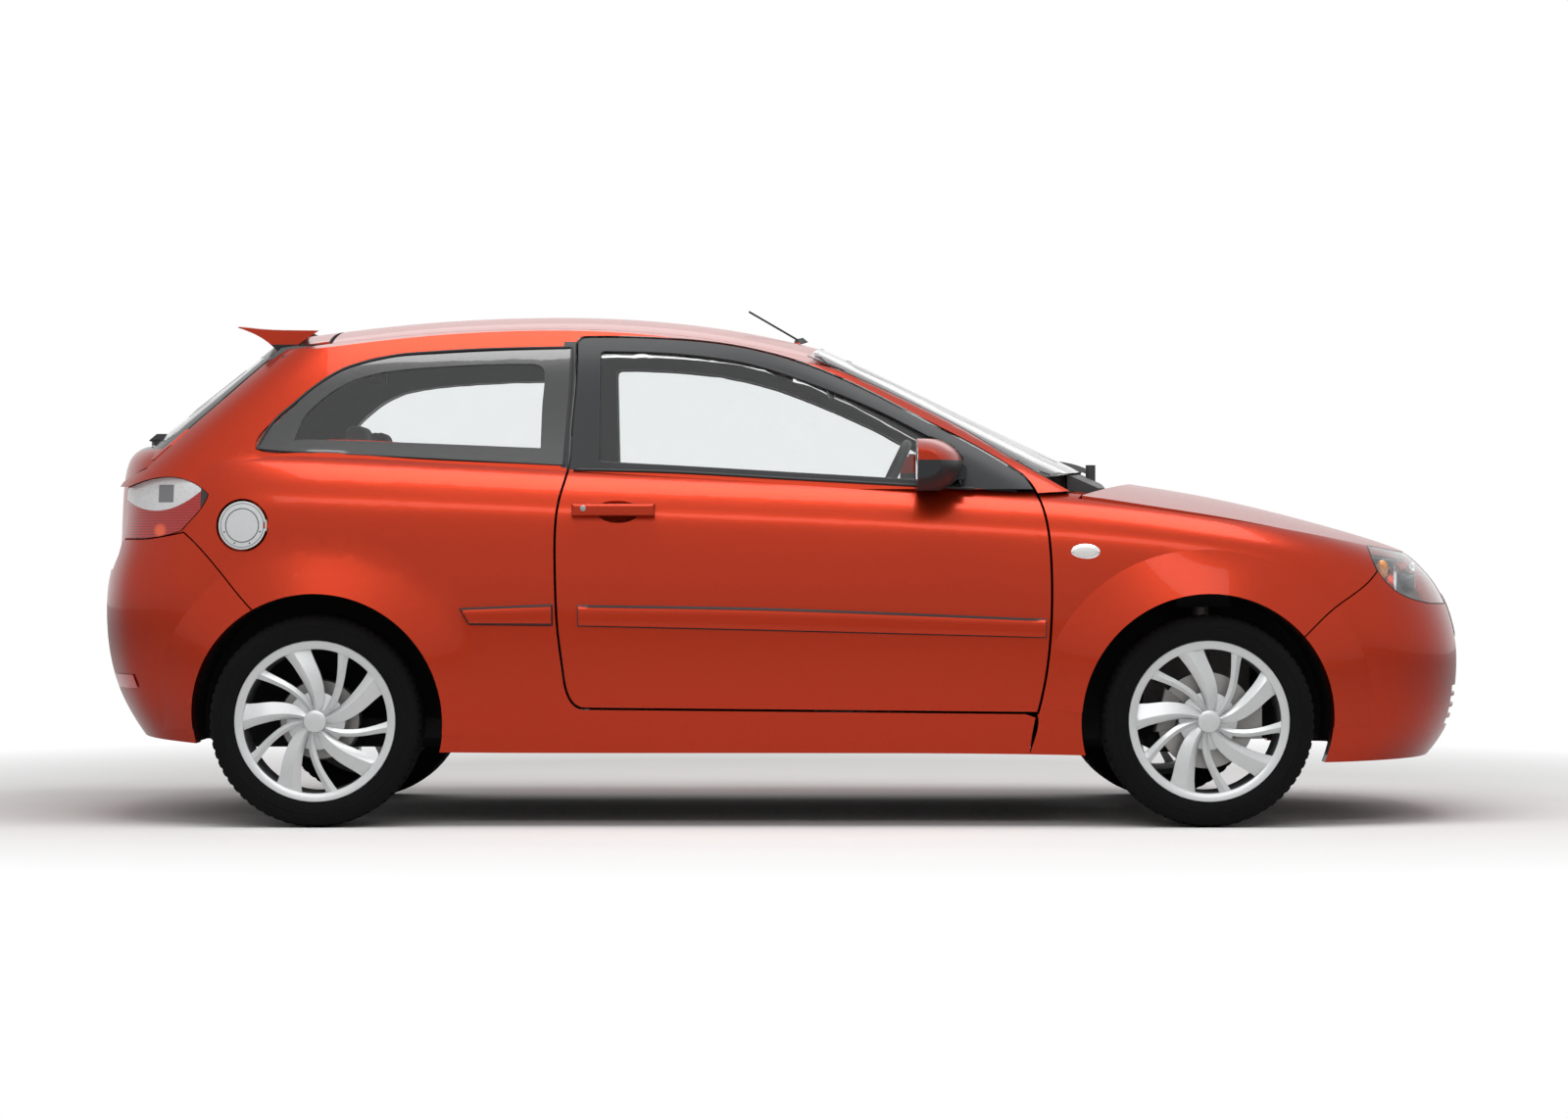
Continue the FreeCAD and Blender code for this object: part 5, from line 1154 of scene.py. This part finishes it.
class HATCH_OT_wheels(bpy.types.Operator):
    """Build the wheels: outer ring, ten swirling spokes, hub, barrel and brake"""
    bl_idname = "hatch.wheels"
    bl_label = "Wheels"

    def execute(self, context):
        for x, end in AXLES:
            for sign, side in SIDES:
                centre = (x, sign * WHEEL_CENTRE, HUB_HEIGHT)
                body = f"wheel_{end}_{side}"
                face = self.face(centre, sign)
                own(face, f"wheel_face_{end}_{side}", "silver", body, f"rim_{end}_{side}")
                own(self.barrel(centre, sign), f"wheel_barrel_{end}_{side}", "dull", body, f"rim_{end}_{side}")
                brake = self.brake(centre, sign, end == "front")
                own(brake, f"brake_{end}_{side}", "steel", body, f"rim_{end}_{side}")
                own(self.cap(centre, sign), f"wheel_cap_{end}_{side}", "silver", body, f"rim_{end}_{side}")
                if end == "front":
                    own(self.caliper(centre, sign), f"caliper_{side}", "cast", f"knuckle_{side}")
        return {"FINISHED"}

    def face(self, centre, sign):
        ring = lathe([(0.1960, 0.0680), (0.1975, 0.0805), (0.2030, 0.0838), (0.2130, 0.0862), (0.2185, 0.0866),
                      (0.2205, 0.0850), (0.2208, 0.0800), (0.2120, 0.0740), (0.2040, 0.0640), (0.1985, 0.0620)],
                     centre, 120, sign)
        pieces = [ring]
        hub = lathe([(0.0, 0.0660), (0.030, 0.0660), (0.0330, 0.0645), (0.060, 0.0610), (0.0795, 0.0560),
                     (0.0800, 0.0300), (0.0, 0.0300)], centre, 72, sign)
        pieces.append(hub)
        for k in range(5):
            pieces.append(blade(105 + 72 * k, 26, SPOKE_RADII, WIDE_SPOKE, 0.014, centre,
                                lambda share: 0.0785 + 0.006 * math.sin(math.pi * share) + 0.002 * share,
                                0.030, sign, 0.30))
            pieces.append(blade(67.5 + 72 * k, 30, SPOKE_RADII, SLIM_SPOKE, 0.008, centre,
                                lambda share: 0.0745 + 0.006 * math.sin(math.pi * share) + 0.004 * share,
                                0.024, sign, 0.0))
        return smooth(joined(pieces), 38)

    def barrel(self, centre, sign):
        profile = [(0.2040, 0.0800), (0.2205, 0.0850), (0.2208, 0.0790), (0.2060, 0.0700), (0.1985, 0.0400),
                   (0.1985, -0.0500), (0.2060, -0.0740), (0.2208, -0.0800), (0.2208, -0.0875),
                   (0.2040, -0.0875), (0.1930, -0.0500), (0.1930, 0.0400), (0.1985, 0.0700)]
        return smooth(lathe(profile, centre, 96, sign), 38)

    def brake(self, centre, sign, front):
        """Disc with its hat, or a finned drum, each with four bolts."""
        if front:
            profile = [(0.0, -0.012), (0.0, 0.0295), (0.072, 0.0295), (0.0745, 0.0270), (0.0750, 0.0020),
                       (0.1320, 0.0020), (0.1330, 0.0010), (0.1330, -0.0180), (0.1320, -0.0190),
                       (0.0750, -0.0190)]
        else:
            profile = [(0.0, -0.030), (0.0, 0.0295), (0.058, 0.0295), (0.060, 0.0), (0.0600, -0.0410),
                       (0.1080, -0.0410), (0.1120, -0.0450), (0.1120, -0.0600), (0.1080, -0.0620),
                       (0.1120, -0.0640), (0.1120, -0.0860), (0.1000, -0.0880)]
        disc = lathe(profile, centre, 96, sign)
        bolts = []
        for k in range(4):
            angle = math.radians(45 + 90 * k)
            spot = (centre[0] + 0.050 * math.cos(angle), centre[1] + sign * 0.031,
                    centre[2] + 0.050 * math.sin(angle))
            bolts.append(drum(0.0085, 0.008, spot, "Y", 6, 0.001))
        return smooth(joined([disc, *bolts]), 35)

    def caliper(self, centre, sign):
        """Brake caliper astride the disc, on the side away from the bumper."""
        piece = block((-0.45, 0.086, -0.036), (0.45, 0.148, 0.020), 0.008, 4)
        for vertex in piece.data.vertices:
            turn, radius, out = vertex.co
            angle = math.pi * 0.93 + turn
            vertex.co = (centre[0] + radius * math.cos(angle), centre[1] + sign * out,
                         centre[2] + radius * math.sin(angle))
        return smooth(tidy_mesh(piece), 40)

    def cap(self, centre, sign):
        profile = [(0.0, 0.0880), (0.016, 0.0876), (0.0265, 0.0862), (0.0300, 0.0840), (0.0315, 0.0810),
                   (0.0318, 0.0700), (0.0, 0.0650)]
        cap = lathe(profile, centre, 64, sign)
        return smooth(cap, 30)


# Middle of the fuel flap as (x, height).
FLAP_CENTRE = (-1.481, 0.825)


class HATCH_OT_side_details(bpy.types.Operator):
    """Fit the side repeaters, door locks, mirror glasses and fuel flap rings"""
    bl_idname = "hatch.side_details"
    bl_label = "Side details"

    def execute(self, context):
        for sign, side in SIDES:
            wing = Skin(f"fender_{side}")
            spot = wing.side(0.822, 0.753, sign)
            base = self.oval(spot, sign, 0.0400, 0.0215, 0.0032)
            own(smooth(base, 60), f"repeater_base_{side}", "chrome", "chassis")
            lens = self.oval(spot + Vector((0, sign * 0.001, 0)), sign, 0.0345, 0.0165, 0.0062)
            own(smooth(lens, 60), f"repeater_lens_{side}", "pale_lens", "chassis")
            skin = Skin(f"door_{side}")
            lock = drum(0.0082, 0.006, skin.side(-0.547, 0.871, sign), "Y", 32, 0.0015)
            own(smooth(lock), f"door_lock_{side}", "steel", f"door_{side}")
            glass = self.mirror_glass(sign)
            own(glass, f"mirror_glass_{side}", "chrome", f"door_{side}")
        own(self.flap_rings(), "fuel_flap_rings", "lamp_grey", "fuel_flap")
        return {"FINISHED"}

    def flap_rings(self):
        """Pressed rings and marks on the round fuel flap."""
        skin = Skin("fuel_flap")

        def spot(radius, angle):
            return skin.side(FLAP_CENTRE[0] + radius * math.cos(angle),
                             FLAP_CENTRE[1] + radius * math.sin(angle))
        rings = [cord_of_rubber([spot(radius, math.pi * k / 40).to_tuple() for k in range(80)], wire, True)
                 for radius, wire in ((0.0460, 0.0013), (0.0600, 0.0008))]
        rings += [drum(0.0022, 0.0012, spot(0.053, math.radians(200 + 47 * k)), "Y", 16, 0.0003)
                  for k in range(4)]
        return joined(rings)

    def oval(self, spot, sign, long, high, proud):
        """Domed oval lying on the skin."""
        fresh()
        bpy.ops.mesh.primitive_uv_sphere_add(segments=48, ring_count=20, radius=1)
        piece = bpy.context.object
        for vertex in piece.data.vertices:
            flat = math.copysign(abs(vertex.co.y) ** 0.6, vertex.co.y)
            vertex.co = (spot.x + vertex.co.x * long, spot.y + sign * proud * flat,
                         spot.z + vertex.co.z * high)
        return tidy_mesh(piece)

    def mirror_glass(self, sign):
        """Silvered glass in the rear of the mirror's shell."""
        centre = Vector((0.3618, sign * 0.842, 0.990))

        def place(u, v):
            angle = 2 * math.pi * u
            across, up = math.cos(angle), math.sin(angle)
            reach = Vector((0, math.copysign(abs(across) ** 0.6, across) * 0.074,
                            math.copysign(abs(up) ** 0.6, up) * 0.052))
            edge = Vector((0.004 if v > 0.999 else 0.0, 0, 0))
            return centre + reach * min(1.0, v * 1.02) + edge
        piece = net(48, 10, place)
        return smooth(modify(piece, "SOLIDIFY", thickness=0.002, offset=0.0), 60)


def dome(spot, radii, power=1.0):
    """Closed rounded form with three radii."""
    fresh()
    bpy.ops.mesh.primitive_uv_sphere_add(segments=40, ring_count=20, radius=1)
    piece = bpy.context.object
    for vertex in piece.data.vertices:
        vertex.co = [at + size * math.copysign(abs(share) ** power, share)
                     for at, size, share in zip(spot, radii, vertex.co)]
    return smooth(tidy_mesh(piece), 60)


def bowl(spot, radius, depth, way):
    """Reflector dish that opens along a level direction."""
    way = Vector(way).normalized()
    beside = Vector((-way.y, way.x, 0))

    def place(u, v):
        angle = 2 * math.pi * u
        reach = beside * (radius * v * math.cos(angle)) + Vector((0, 0, radius * v * math.sin(angle)))
        return Vector(spot) + reach - way * (depth * (1 - v * v))
    return smooth(modify(net(48, 12, place), "SOLIDIFY", thickness=0.0015, offset=0.0), 60)


class HATCH_OT_lamps(bpy.types.Operator):
    """Fit the headlamps: clear lens, dark housing, two bowls with bulbs and the amber corner"""
    bl_idname = "hatch.lamps"
    bl_label = "Lamps"

    def execute(self, context):
        for sign, side in SIDES:
            node = f"headlamp_{side}"

            def outer(normal, centre):
                return 0.75 * normal.x + 0.66 * sign * normal.y > 0.3
            lens = modify(part_sheet(node, outer), "SOLIDIFY", thickness=0.003, offset=-1.0)
            own(smooth(lens), f"headlamp_lens_{side}", "lens", "chassis", node)
            housing = tray(part_sheet(node, outer), Vector((-0.050, -sign * 0.040, 0)))
            modify(housing, "SOLIDIFY", thickness=0.0016, offset=0.0)
            own(smooth(housing), f"headlamp_housing_{side}", "lamp_grey", "chassis", node)
            bowls = [bowl((1.700, sign * 0.580, 0.678), 0.038, 0.034, (1, sign * 0.25, 0)),
                     bowl((1.770, sign * 0.466, 0.682), 0.042, 0.038, (1, sign * 0.08, 0))]
            own(joined(bowls), f"headlamp_bowls_{side}", "chrome", "chassis", node)
            bulbs = [dome((1.686, sign * 0.578, 0.678), (0.014, 0.009, 0.009)),
                     dome((1.754, sign * 0.465, 0.682), (0.016, 0.010, 0.010))]
            own(joined(bulbs), f"headlamp_bulbs_{side}", "pale_lens", "chassis", node)
            corner = Skin(node).side(1.652, 0.706, sign)
            amber = dome((1.656, corner.y - sign * 0.024, 0.704), (0.015, 0.012, 0.026), 0.8)
            own(amber, f"headlamp_corner_{side}", "amber", "chassis", node)
        return {"FINISHED"}


# Upper and lower edges of the rub strips as (x, height).
DOOR_STRIP = (((-0.560, 0.604), (0.0, 0.594), (0.712, 0.566)), ((-0.560, 0.553), (0.0, 0.540), (0.712, 0.521)))
SIDE_STRIP = (((-0.880, 0.596), (-0.760, 0.601), (-0.634, 0.606)),
              ((-0.858, 0.556), (-0.750, 0.555), (-0.634, 0.554)))


class HATCH_OT_strips(bpy.types.Operator):
    """Lay the crowned rub strips on the sides, each over a black sheet that paints the shadow round its edges
    """
    bl_idname = "hatch.strips"
    bl_label = "Rub strips"

    def execute(self, context):
        for sign, side in SIDES:
            for node, body, lines in ((f"door_{side}", f"door_{side}", DOOR_STRIP),
                                      (f"body_side_{side}", "chassis", SIDE_STRIP)):
                skin = Skin(node)
                # Painted shadow: a black sheet, a little wider than the strip and under it, shows as a dark
                # line round its edges.
                gap = self.strip(skin, lines, sign, 0.0010, 0.0032)
                own(gap, f"strip_gap_{node}", "seal", body)
                strip = self.strip(skin, lines, sign, 0.0046, 0.0)
                own(strip, f"strip_{node}", "paint", body)
        return {"FINISHED"}

    def strip(self, skin, lines, sign, lift, grow):
        columns, rows, height = 72, 12, 0.05
        tops, bottoms = (trace(line, columns) for line in lines)

        def place(u, v):
            at = round(u * columns)
            (ax, az), (bx, bz) = bottoms[at], tops[at]
            share = v + (2 * v - 1) * grow / height
            x = ax + (bx - ax) * share + (2 * u - 1) * grow
            crown = 1 - abs(2 * v - 1) ** 5
            return skin.side(x, az + (bz - az) * share, sign, lift * (0.25 + 0.75 * crown))
        return smooth(modify(net(columns, rows, place), "SOLIDIFY", thickness=0.002, offset=0.0), 50)


PAD_PRESSURE = 4.0
PAD_FRAMES = 20
# Depth and half width of a sewn channel, then of the seam round a pad.
CHANNEL = (0.006, 0.0045)
SEAM = (0.0035, 0.004)


def pad(size, lines, limit, voxel=0.008):
    """Upholstered pad about the origin, blown up as cloth held at its base and its sewn lines."""
    half = [length / 2 for length in size]
    piece = block([-length for length in half], half, min(half[2] * 0.8, 0.034), 5)
    piece.data.remesh_voxel_size = voxel
    only(piece)
    bpy.ops.object.voxel_remesh()

    def sewn(place):
        return place.z > 0 and any(abs(place[axis] - at) < voxel * 0.6 for axis, at in lines)
    held = [vertex.index for vertex in piece.data.vertices
            if vertex.co.z < -0.9 * half[2] or sewn(vertex.co)]
    swell(piece, held, limit)
    modify(piece, "SUBSURF", levels=1, render_levels=1)
    for vertex in piece.data.vertices:
        place = vertex.co
        if place.z > 0:
            groove = max((math.exp(-((place[axis] - at) / CHANNEL[1]) ** 2) for axis, at in lines), default=0.0)
            place.z -= CHANNEL[0] * groove
        seam = math.exp(-((place.z - 0.2 * half[2]) / SEAM[1]) ** 2)
        pull = 1 - 0.010 * (1 - (place.x / half[0]) ** 2)
        place.x *= 1 - SEAM[0] * seam / half[0]
        place.y *= pull * (1 - SEAM[0] * seam / half[1])
    return piece


def swell(piece, held, limit):
    """Presses a closed cloth outwards until it settles, and limits how far a point moves."""
    scene = bpy.context.scene
    start = [vertex.co.copy() for vertex in piece.data.vertices]
    piece.vertex_groups.new(name="seams").add(held, 1.0, "REPLACE")
    cloth = piece.modifiers.new("cloth", "CLOTH")
    cloth.settings.quality = 4
    cloth.settings.use_pressure = True
    cloth.settings.uniform_pressure_force = PAD_PRESSURE
    cloth.settings.effector_weights.gravity = 0
    cloth.settings.vertex_group_mass = "seams"
    cloth.collision_settings.use_collision = False
    for step in range(1, PAD_FRAMES + 1):
        scene.frame_set(step)
    only(piece)
    bpy.ops.object.modifier_apply(modifier="cloth")
    for vertex, place in zip(piece.data.vertices, start):
        move = vertex.co - place
        if move.length > limit:
            vertex.co = place + move * (limit / move.length)
    scene.frame_set(1)


def rise(value, low, high):
    """Smooth step from 0 to 1."""
    share = min(1.0, max(0.0, (value - low) / (high - low)))
    return share * share * (3 - 2 * share)


def set_pad(piece, centre, lean, face, across=0.0, shape=None):
    """Puts a pad in its place: its length along a lean, its face to where the sitter is."""
    turn = math.copysign(1, lean[0] * face[1] - lean[1] * face[0])
    for vertex in piece.data.vertices:
        place = vertex.co.copy()
        if shape:
            place = shape(place)
        vertex.co = Vector((centre[0] + lean[0] * place.x + face[0] * place.z, across + turn * place.y,
                            centre[1] + lean[1] * place.x + face[1] * place.z))
    return smooth(piece, 80)


def slope(degrees):
    """Length and face directions of a pad that leans back by an angle from level."""
    angle = math.radians(degrees)
    return (math.cos(angle), math.sin(angle)), (-math.sin(angle), math.cos(angle))


def upright(degrees):
    """Length and face directions of a back that leans back by an angle from upright."""
    angle = math.radians(degrees)
    return (-math.sin(angle), math.cos(angle)), (math.cos(angle), math.sin(angle))


class HATCH_OT_seats(bpy.types.Operator):
    """Upholster the front seats and the rear bench, with their head rests and bases"""
    bl_idname = "hatch.seats"
    bl_label = "Seats"

    def execute(self, context):
        self.front_seats()
        self.rear_seat()
        return {"FINISHED"}

    def padded(self, piece, name, finish_name, *nodes):
        own(piece, name, finish_name, "chassis", *nodes)
        return piece

    def front_seats(self):
        def bolstered(place):
            place.z += 0.020 * rise(abs(place.y), 0.120, 0.190) * rise(place.z, -0.02, 0.03)
            return place

        def tapered(place):
            place = bolstered(place)
            place.y *= 1 - 0.16 * rise(place.x, 0.05, 0.25)
            return place
        cushion = pad((0.435, 0.450, 0.090), ((1, -0.135), (1, 0.135), (0, 0.060)), 0.014)
        set_pad(cushion, (-0.108, 0.378), *slope(5.3), -SEAT_MIDDLE, bolstered)
        back = pad((0.480, 0.450, 0.085), ((1, -0.130), (1, 0.130), (0, 0.120), (0, -0.060)), 0.014)
        set_pad(back, (-0.500, 0.655), *upright(28), -SEAT_MIDDLE, tapered)
        rest = pad((0.165, 0.225, 0.070), ((1, -0.080), (1, 0.080)), 0.012)
        set_pad(rest, (-0.630, 1.008), *upright(3), -SEAT_MIDDLE)
        for piece, name in ((cushion, "cushion"), (back, "backrest"), (rest, "head_rest")):
            other = flipped(piece, "copy")
            self.padded(piece, f"front_{name}_right", "front_cloth", "front_seat_right")
            self.padded(other, f"front_{name}_left", "front_cloth", "front_seat_left")
        for sign, side in SIDES:
            middle = sign * SEAT_MIDDLE
            shell = [block((-0.335, middle - 0.225, 0.290), (0.085, middle + 0.225, 0.335), 0.012),
                     block((-0.300, middle - 0.215, 0.258), (0.060, middle - 0.175, 0.295), 0.004),
                     block((-0.300, middle + 0.175, 0.258), (0.060, middle + 0.215, 0.295), 0.004),
                     dome((-0.372, middle + sign * 0.218, 0.405), (0.055, 0.016, 0.050), 0.9)]
            own(smooth(joined(shell)), f"front_seat_base_{side}", "trim", "chassis", f"front_seat_{side}")
            posts = [cord_of_rubber([(-0.612, middle + gap, 0.880), (-0.628, middle + gap, 0.960)], 0.0055)
                     for gap in (-0.055, 0.055)]
            own(smooth(joined(posts)), f"head_rest_posts_{side}", "steel", "chassis", f"front_seat_{side}")

    def rear_seat(self):
        def widened(place):
            place.y *= 1 + 0.30 * rise(place.x, -0.020, 0.045)
            return place
        bench = pad((0.355, 0.830, 0.105), ((1, -0.180), (1, 0.180), (1, 0.0), (0, 0.070)), 0.014, 0.010)
        set_pad(bench, (-0.822, 0.378), *slope(6.0))
        self.padded(bench, "rear_cushion", "rear_cloth", "rear_seat")
        back = pad((0.470, 0.850, 0.062), ((1, -0.180), (1, 0.180), (1, 0.0), (0, 0.110)), 0.012, 0.010)
        set_pad(back, (-1.140, 0.705), *upright(21), 0.0, widened)
        self.padded(back, "rear_backrest", "rear_cloth", "rear_seat")
        rest = pad((0.150, 0.225, 0.060), ((1, -0.080), (1, 0.080)), 0.012)
        set_pad(rest, (-1.205, 1.035), *upright(8), -REST_MIDDLE)
        other = flipped(rest, "copy")
        self.padded(rest, "rear_head_rest_right", "rear_cloth", "rear_seat")
        self.padded(other, "rear_head_rest_left", "rear_cloth", "rear_seat")
        posts = [cord_of_rubber([(-1.208, y, 0.925), (-1.207, y, 1.000)], 0.005)
                 for middle in (-REST_MIDDLE, REST_MIDDLE) for y in (middle - 0.050, middle + 0.050)]
        base = block((-0.985, -0.420, 0.258), (-0.655, 0.420, 0.325), 0.010)
        own(smooth(joined(posts)), "rear_head_rest_posts", "steel", "chassis", "rear_seat")
        own(smooth(base), "rear_seat_base", "trim", "chassis", "rear_seat")


class HATCH_OT_cabin(bpy.types.Operator):
    """Fit the vents, centre panel, gear lever, handbrake, inner mirror and parcel shelf"""
    bl_idname = "hatch.cabin"
    bl_label = "Cabin"

    def execute(self, context):
        skin = Skin("dashboard")
        vents = []
        for y in (-0.560, -0.065, 0.065, 0.560):
            face = skin.meet((0.0, y, 0.845), (1, 0, 0))
            vents.append(block((face.x - 0.006, y - 0.048, 0.815), (face.x + 0.010, y + 0.048, 0.875), 0.006))
            vents += [block((face.x - 0.009, y - 0.042, height), (face.x - 0.002, y + 0.042, height + 0.004),
                            0.001)
                      for height in (0.826, 0.838, 0.850, 0.862)]
        own(smooth(joined(vents)), "dash_vents", "gloss_black", "chassis")
        face = skin.meet((0.0, 0.0, 0.745), (1, 0, 0))
        radio = [block((face.x - 0.004, -0.088, 0.735), (face.x + 0.020, 0.088, 0.790), 0.003)]
        radio += [drum(0.017, 0.016, (face.x + 0.004, y, 0.700), "X", 32) for y in (-0.055, 0.0, 0.055)]
        own(smooth(joined(radio)), "centre_panel", "gloss_black", "chassis")
        lever = [cord_of_rubber([(0.330, 0, 0.270), (0.310, 0, 0.420), (0.296, 0, 0.520)], 0.008),
                 dome((0.292, 0, 0.545), (0.024, 0.024, 0.034)),
                 dome((0.330, 0, 0.300), (0.065, 0.050, 0.075), 0.8)]
        own(smooth(joined(lever)), "gear_lever", "trim", "chassis")
        brake = [cord_of_rubber([(-0.180, 0, 0.300), (-0.060, 0, 0.372), (0.030, 0, 0.410)], 0.013),
                 dome((0.040, 0, 0.414), (0.020, 0.015, 0.015))]
        own(smooth(joined(brake)), "handbrake", "trim", "chassis")
        glass = Skin("windscreen")
        hang = glass.meet((-0.5, 0, 1.285), (1, 0, 0))
        mirror = [dome((hang.x - 0.075, 0, 1.238), (0.014, 0.115, 0.034), 0.75),
                  cord_of_rubber([tuple(hang), (hang.x - 0.045, 0, 1.262), (hang.x - 0.070, 0, 1.244)], 0.006)]
        own(smooth(joined(mirror)), "inner_mirror", "trim", "chassis")
        shelf = block((-1.725, -0.560, 0.952), (-1.285, 0.560, 0.968), 0.006)
        own(smooth(shelf), "parcel_shelf", "bolster", "chassis")
        return {"FINISHED"}


# Foremost x that a plate on the nose may reach, and the rear reflectors' distance from the middle line.
FOREMOST = CAD_BOX[1][0] - 0.0012
REFLECTOR_SIDE = 0.56


class HATCH_OT_ends(bpy.types.Operator):
    """Fit the plates, grilles, rear reflectors, high brake lamp, gate handle and rear wiper pivot"""
    bl_idname = "hatch.ends"
    bl_label = "Front and rear details"

    def execute(self, context):
        nose, tail, gate = Skin("front_bumper"), Skin("rear_bumper"), Skin("tailgate", "tailgate_glass")

        def on_nose(y, z, lift):
            place = nose.front(y, z, lift)
            place.x = min(place.x, FOREMOST)
            return place

        for lay, body, height, name in ((on_nose, "chassis", 0.572, "front"),
                                        (gate.rear, "tailgate", 0.830, "rear")):
            holder = self.laid(lay, 0.266, height, 0.062, 0.0020)
            own(holder, f"plate_frame_{name}", "trim", body)
            plate = self.laid(lay, 0.260, height, 0.056, 0.0036)
            own(plate, f"plate_{name}", "plate", body)
        for name, half_width, height, half_height in (("lower_grille", 0.44, 0.319, 0.070),
                                                      ("upper_grille", 0.335, 0.670, 0.036)):
            mesh = self.laid(lambda y, z, lift: self.behind(nose, y, z), half_width, height, half_height, 0.0)
            own(mesh, name, "mesh", "chassis")
        for sign, side in SIDES:
            reflector = self.laid(lambda y, z, lift: tail.rear(y + sign * REFLECTOR_SIDE, z, lift),
                                  0.070, 0.395, 0.018, 0.0035)
            own(reflector, f"rear_reflector_{side}", "red_plain", "chassis")
        lamp = self.laid(gate.rear, 0.130, 1.352, 0.010, 0.0030)
        own(lamp, "high_brake_lamp", "red_plain", "tailgate")
        handle = self.laid(gate.rear, 0.110, 0.925, 0.016, 0.0050)
        own(handle, "gate_handle", "gloss_black", "tailgate")
        pivot = (gate.rear(0.0, 1.055).x, 0.0, 1.066)
        motor = [drum(0.020, 0.050, pivot, "X", 40), drum(0.012, 0.064, pivot, "X", 32)]
        own(smooth(joined(motor)), "rear_wiper_pivot", "trim", "tailgate")
        return {"FINISHED"}

    def laid(self, lay, half_width, height, half_height, lift):
        """Thin rounded plate laid on a surface about the middle of the car."""
        def place(u, v):
            across, up = 2 * u - 1, 2 * v - 1
            corner = max(0.0, abs(up) - 0.75) / 0.25
            reach = half_width - half_height * 0.25 * (1 - math.sqrt(max(0.0, 1 - corner * corner)))
            return lay(across * reach, height + up * half_height, lift)
        return smooth(modify(net(48, 16, place), "SOLIDIFY", thickness=0.0022, offset=0.0), 50)

    def behind(self, skin, y, z):
        """Point of the grille's backing, a little behind the bumper's face beside the slots."""
        face = skin.front(y, 0.590 if z > 0.5 else 0.235)
        return Vector((face.x - 0.085, y, z))


class HATCH_OT_engine(bpy.types.Operator):
    """Fill the engine bay: ribbed cover, battery, coolant bottle, hoses and radiator"""
    bl_idname = "hatch.engine"
    bl_label = "Engine bay"

    def execute(self, context):
        cover = [block((1.040, -0.200, 0.650), (1.360, 0.180, 0.686), 0.014)]
        cover += [block((1.060, y, 0.680), (1.340, y + 0.012, 0.692), 0.004)
                  for y in (-0.150, -0.090, -0.030, 0.030, 0.090)]
        cover.append(drum(0.030, 0.016, (1.300, 0.140, 0.692), "Z", 40))
        own(smooth(joined(cover)), "engine_cover", "trim", "chassis")
        battery = [block((1.180, 0.300, 0.480), (1.390, 0.440, 0.650), 0.008),
                   block((1.176, 0.296, 0.630), (1.394, 0.444, 0.654), 0.006)]
        battery += [drum(0.010, 0.020, (x, 0.330, 0.660), "Z", 24) for x in (1.210, 1.360)]
        own(smooth(joined(battery)), "battery", "trim", "chassis")
        bottle = [block((1.190, -0.440, 0.500), (1.330, -0.310, 0.650), 0.030, 6),
                  drum(0.026, 0.022, (1.260, -0.375, 0.660), "Z", 32)]
        own(smooth(joined(bottle)), "coolant_bottle", "pale_lens", "chassis")
        pipes = [cord_of_rubber(trace(line, 24), radius) for line, radius in (
            (((1.380, -0.120, 0.560), (1.460, -0.130, 0.600), (1.520, -0.150, 0.560),
              (1.560, -0.160, 0.480)), 0.018),
            (((1.380, 0.150, 0.480), (1.450, 0.170, 0.430), (1.540, 0.180, 0.400)), 0.016),
            (((1.330, -0.290, 0.600), (1.300, -0.240, 0.640), (1.240, -0.210, 0.660)), 0.010))]
        own(smooth(joined(pipes)), "coolant_hoses", "seal", "chassis")
        radiator = [block((1.560, -0.300, 0.300), (1.590, 0.300, 0.600), 0.003)]
        radiator += [block((1.555, -0.295, 0.306 + 0.0145 * k), (1.595, 0.295, 0.309 + 0.0145 * k), 0)
                     for k in range(20)]
        own(smooth(joined(radiator)), "radiator", "steel", "chassis")
        return {"FINISHED"}


class HATCH_PT_panel(bpy.types.Panel):
    """Lists the settings and the steps that dress the car"""
    bl_label = "Hatchback"
    bl_idname = "HATCH_PT_panel"
    bl_space_type = "VIEW_3D"
    bl_region_type = "UI"
    bl_category = "Hatchback"

    def draw(self, context):
        for settings in (context.scene.hatch_paint, context.scene.hatch_wheel, context.scene.hatch_stage):
            group = self.layout.box()
            for name in settings.__annotations__:
                group.prop(settings, name)
        for operator in OPERATORS:
            self.layout.operator(operator.bl_idname)


OPERATORS = (HATCH_OT_stage, HATCH_OT_bodywork, HATCH_OT_window_trim, HATCH_OT_end_glass, HATCH_OT_tyres,
             HATCH_OT_wheels, HATCH_OT_side_details, HATCH_OT_lamps, HATCH_OT_strips, HATCH_OT_seats,
             HATCH_OT_cabin, HATCH_OT_ends, HATCH_OT_engine)


SETTINGS = {"hatch_paint": PaintSettings, "hatch_wheel": WheelSettings, "hatch_stage": StageSettings}
CLASSES = (*SETTINGS.values(), *OPERATORS, HATCH_PT_panel)


def register():
    for cls in CLASSES:
        bpy.utils.register_class(cls)
    for name, group in SETTINGS.items():
        setattr(bpy.types.Scene, name, bpy.props.PointerProperty(type=group))


def unregister():
    for name in SETTINGS:
        delattr(bpy.types.Scene, name)
    for cls in reversed(CLASSES):
        bpy.utils.unregister_class(cls)


def main():
    register()
    for operator in OPERATORS:
        group, name = operator.bl_idname.split(".")
        getattr(getattr(bpy.ops, group), name)()


if __name__ == "__main__":
    main()
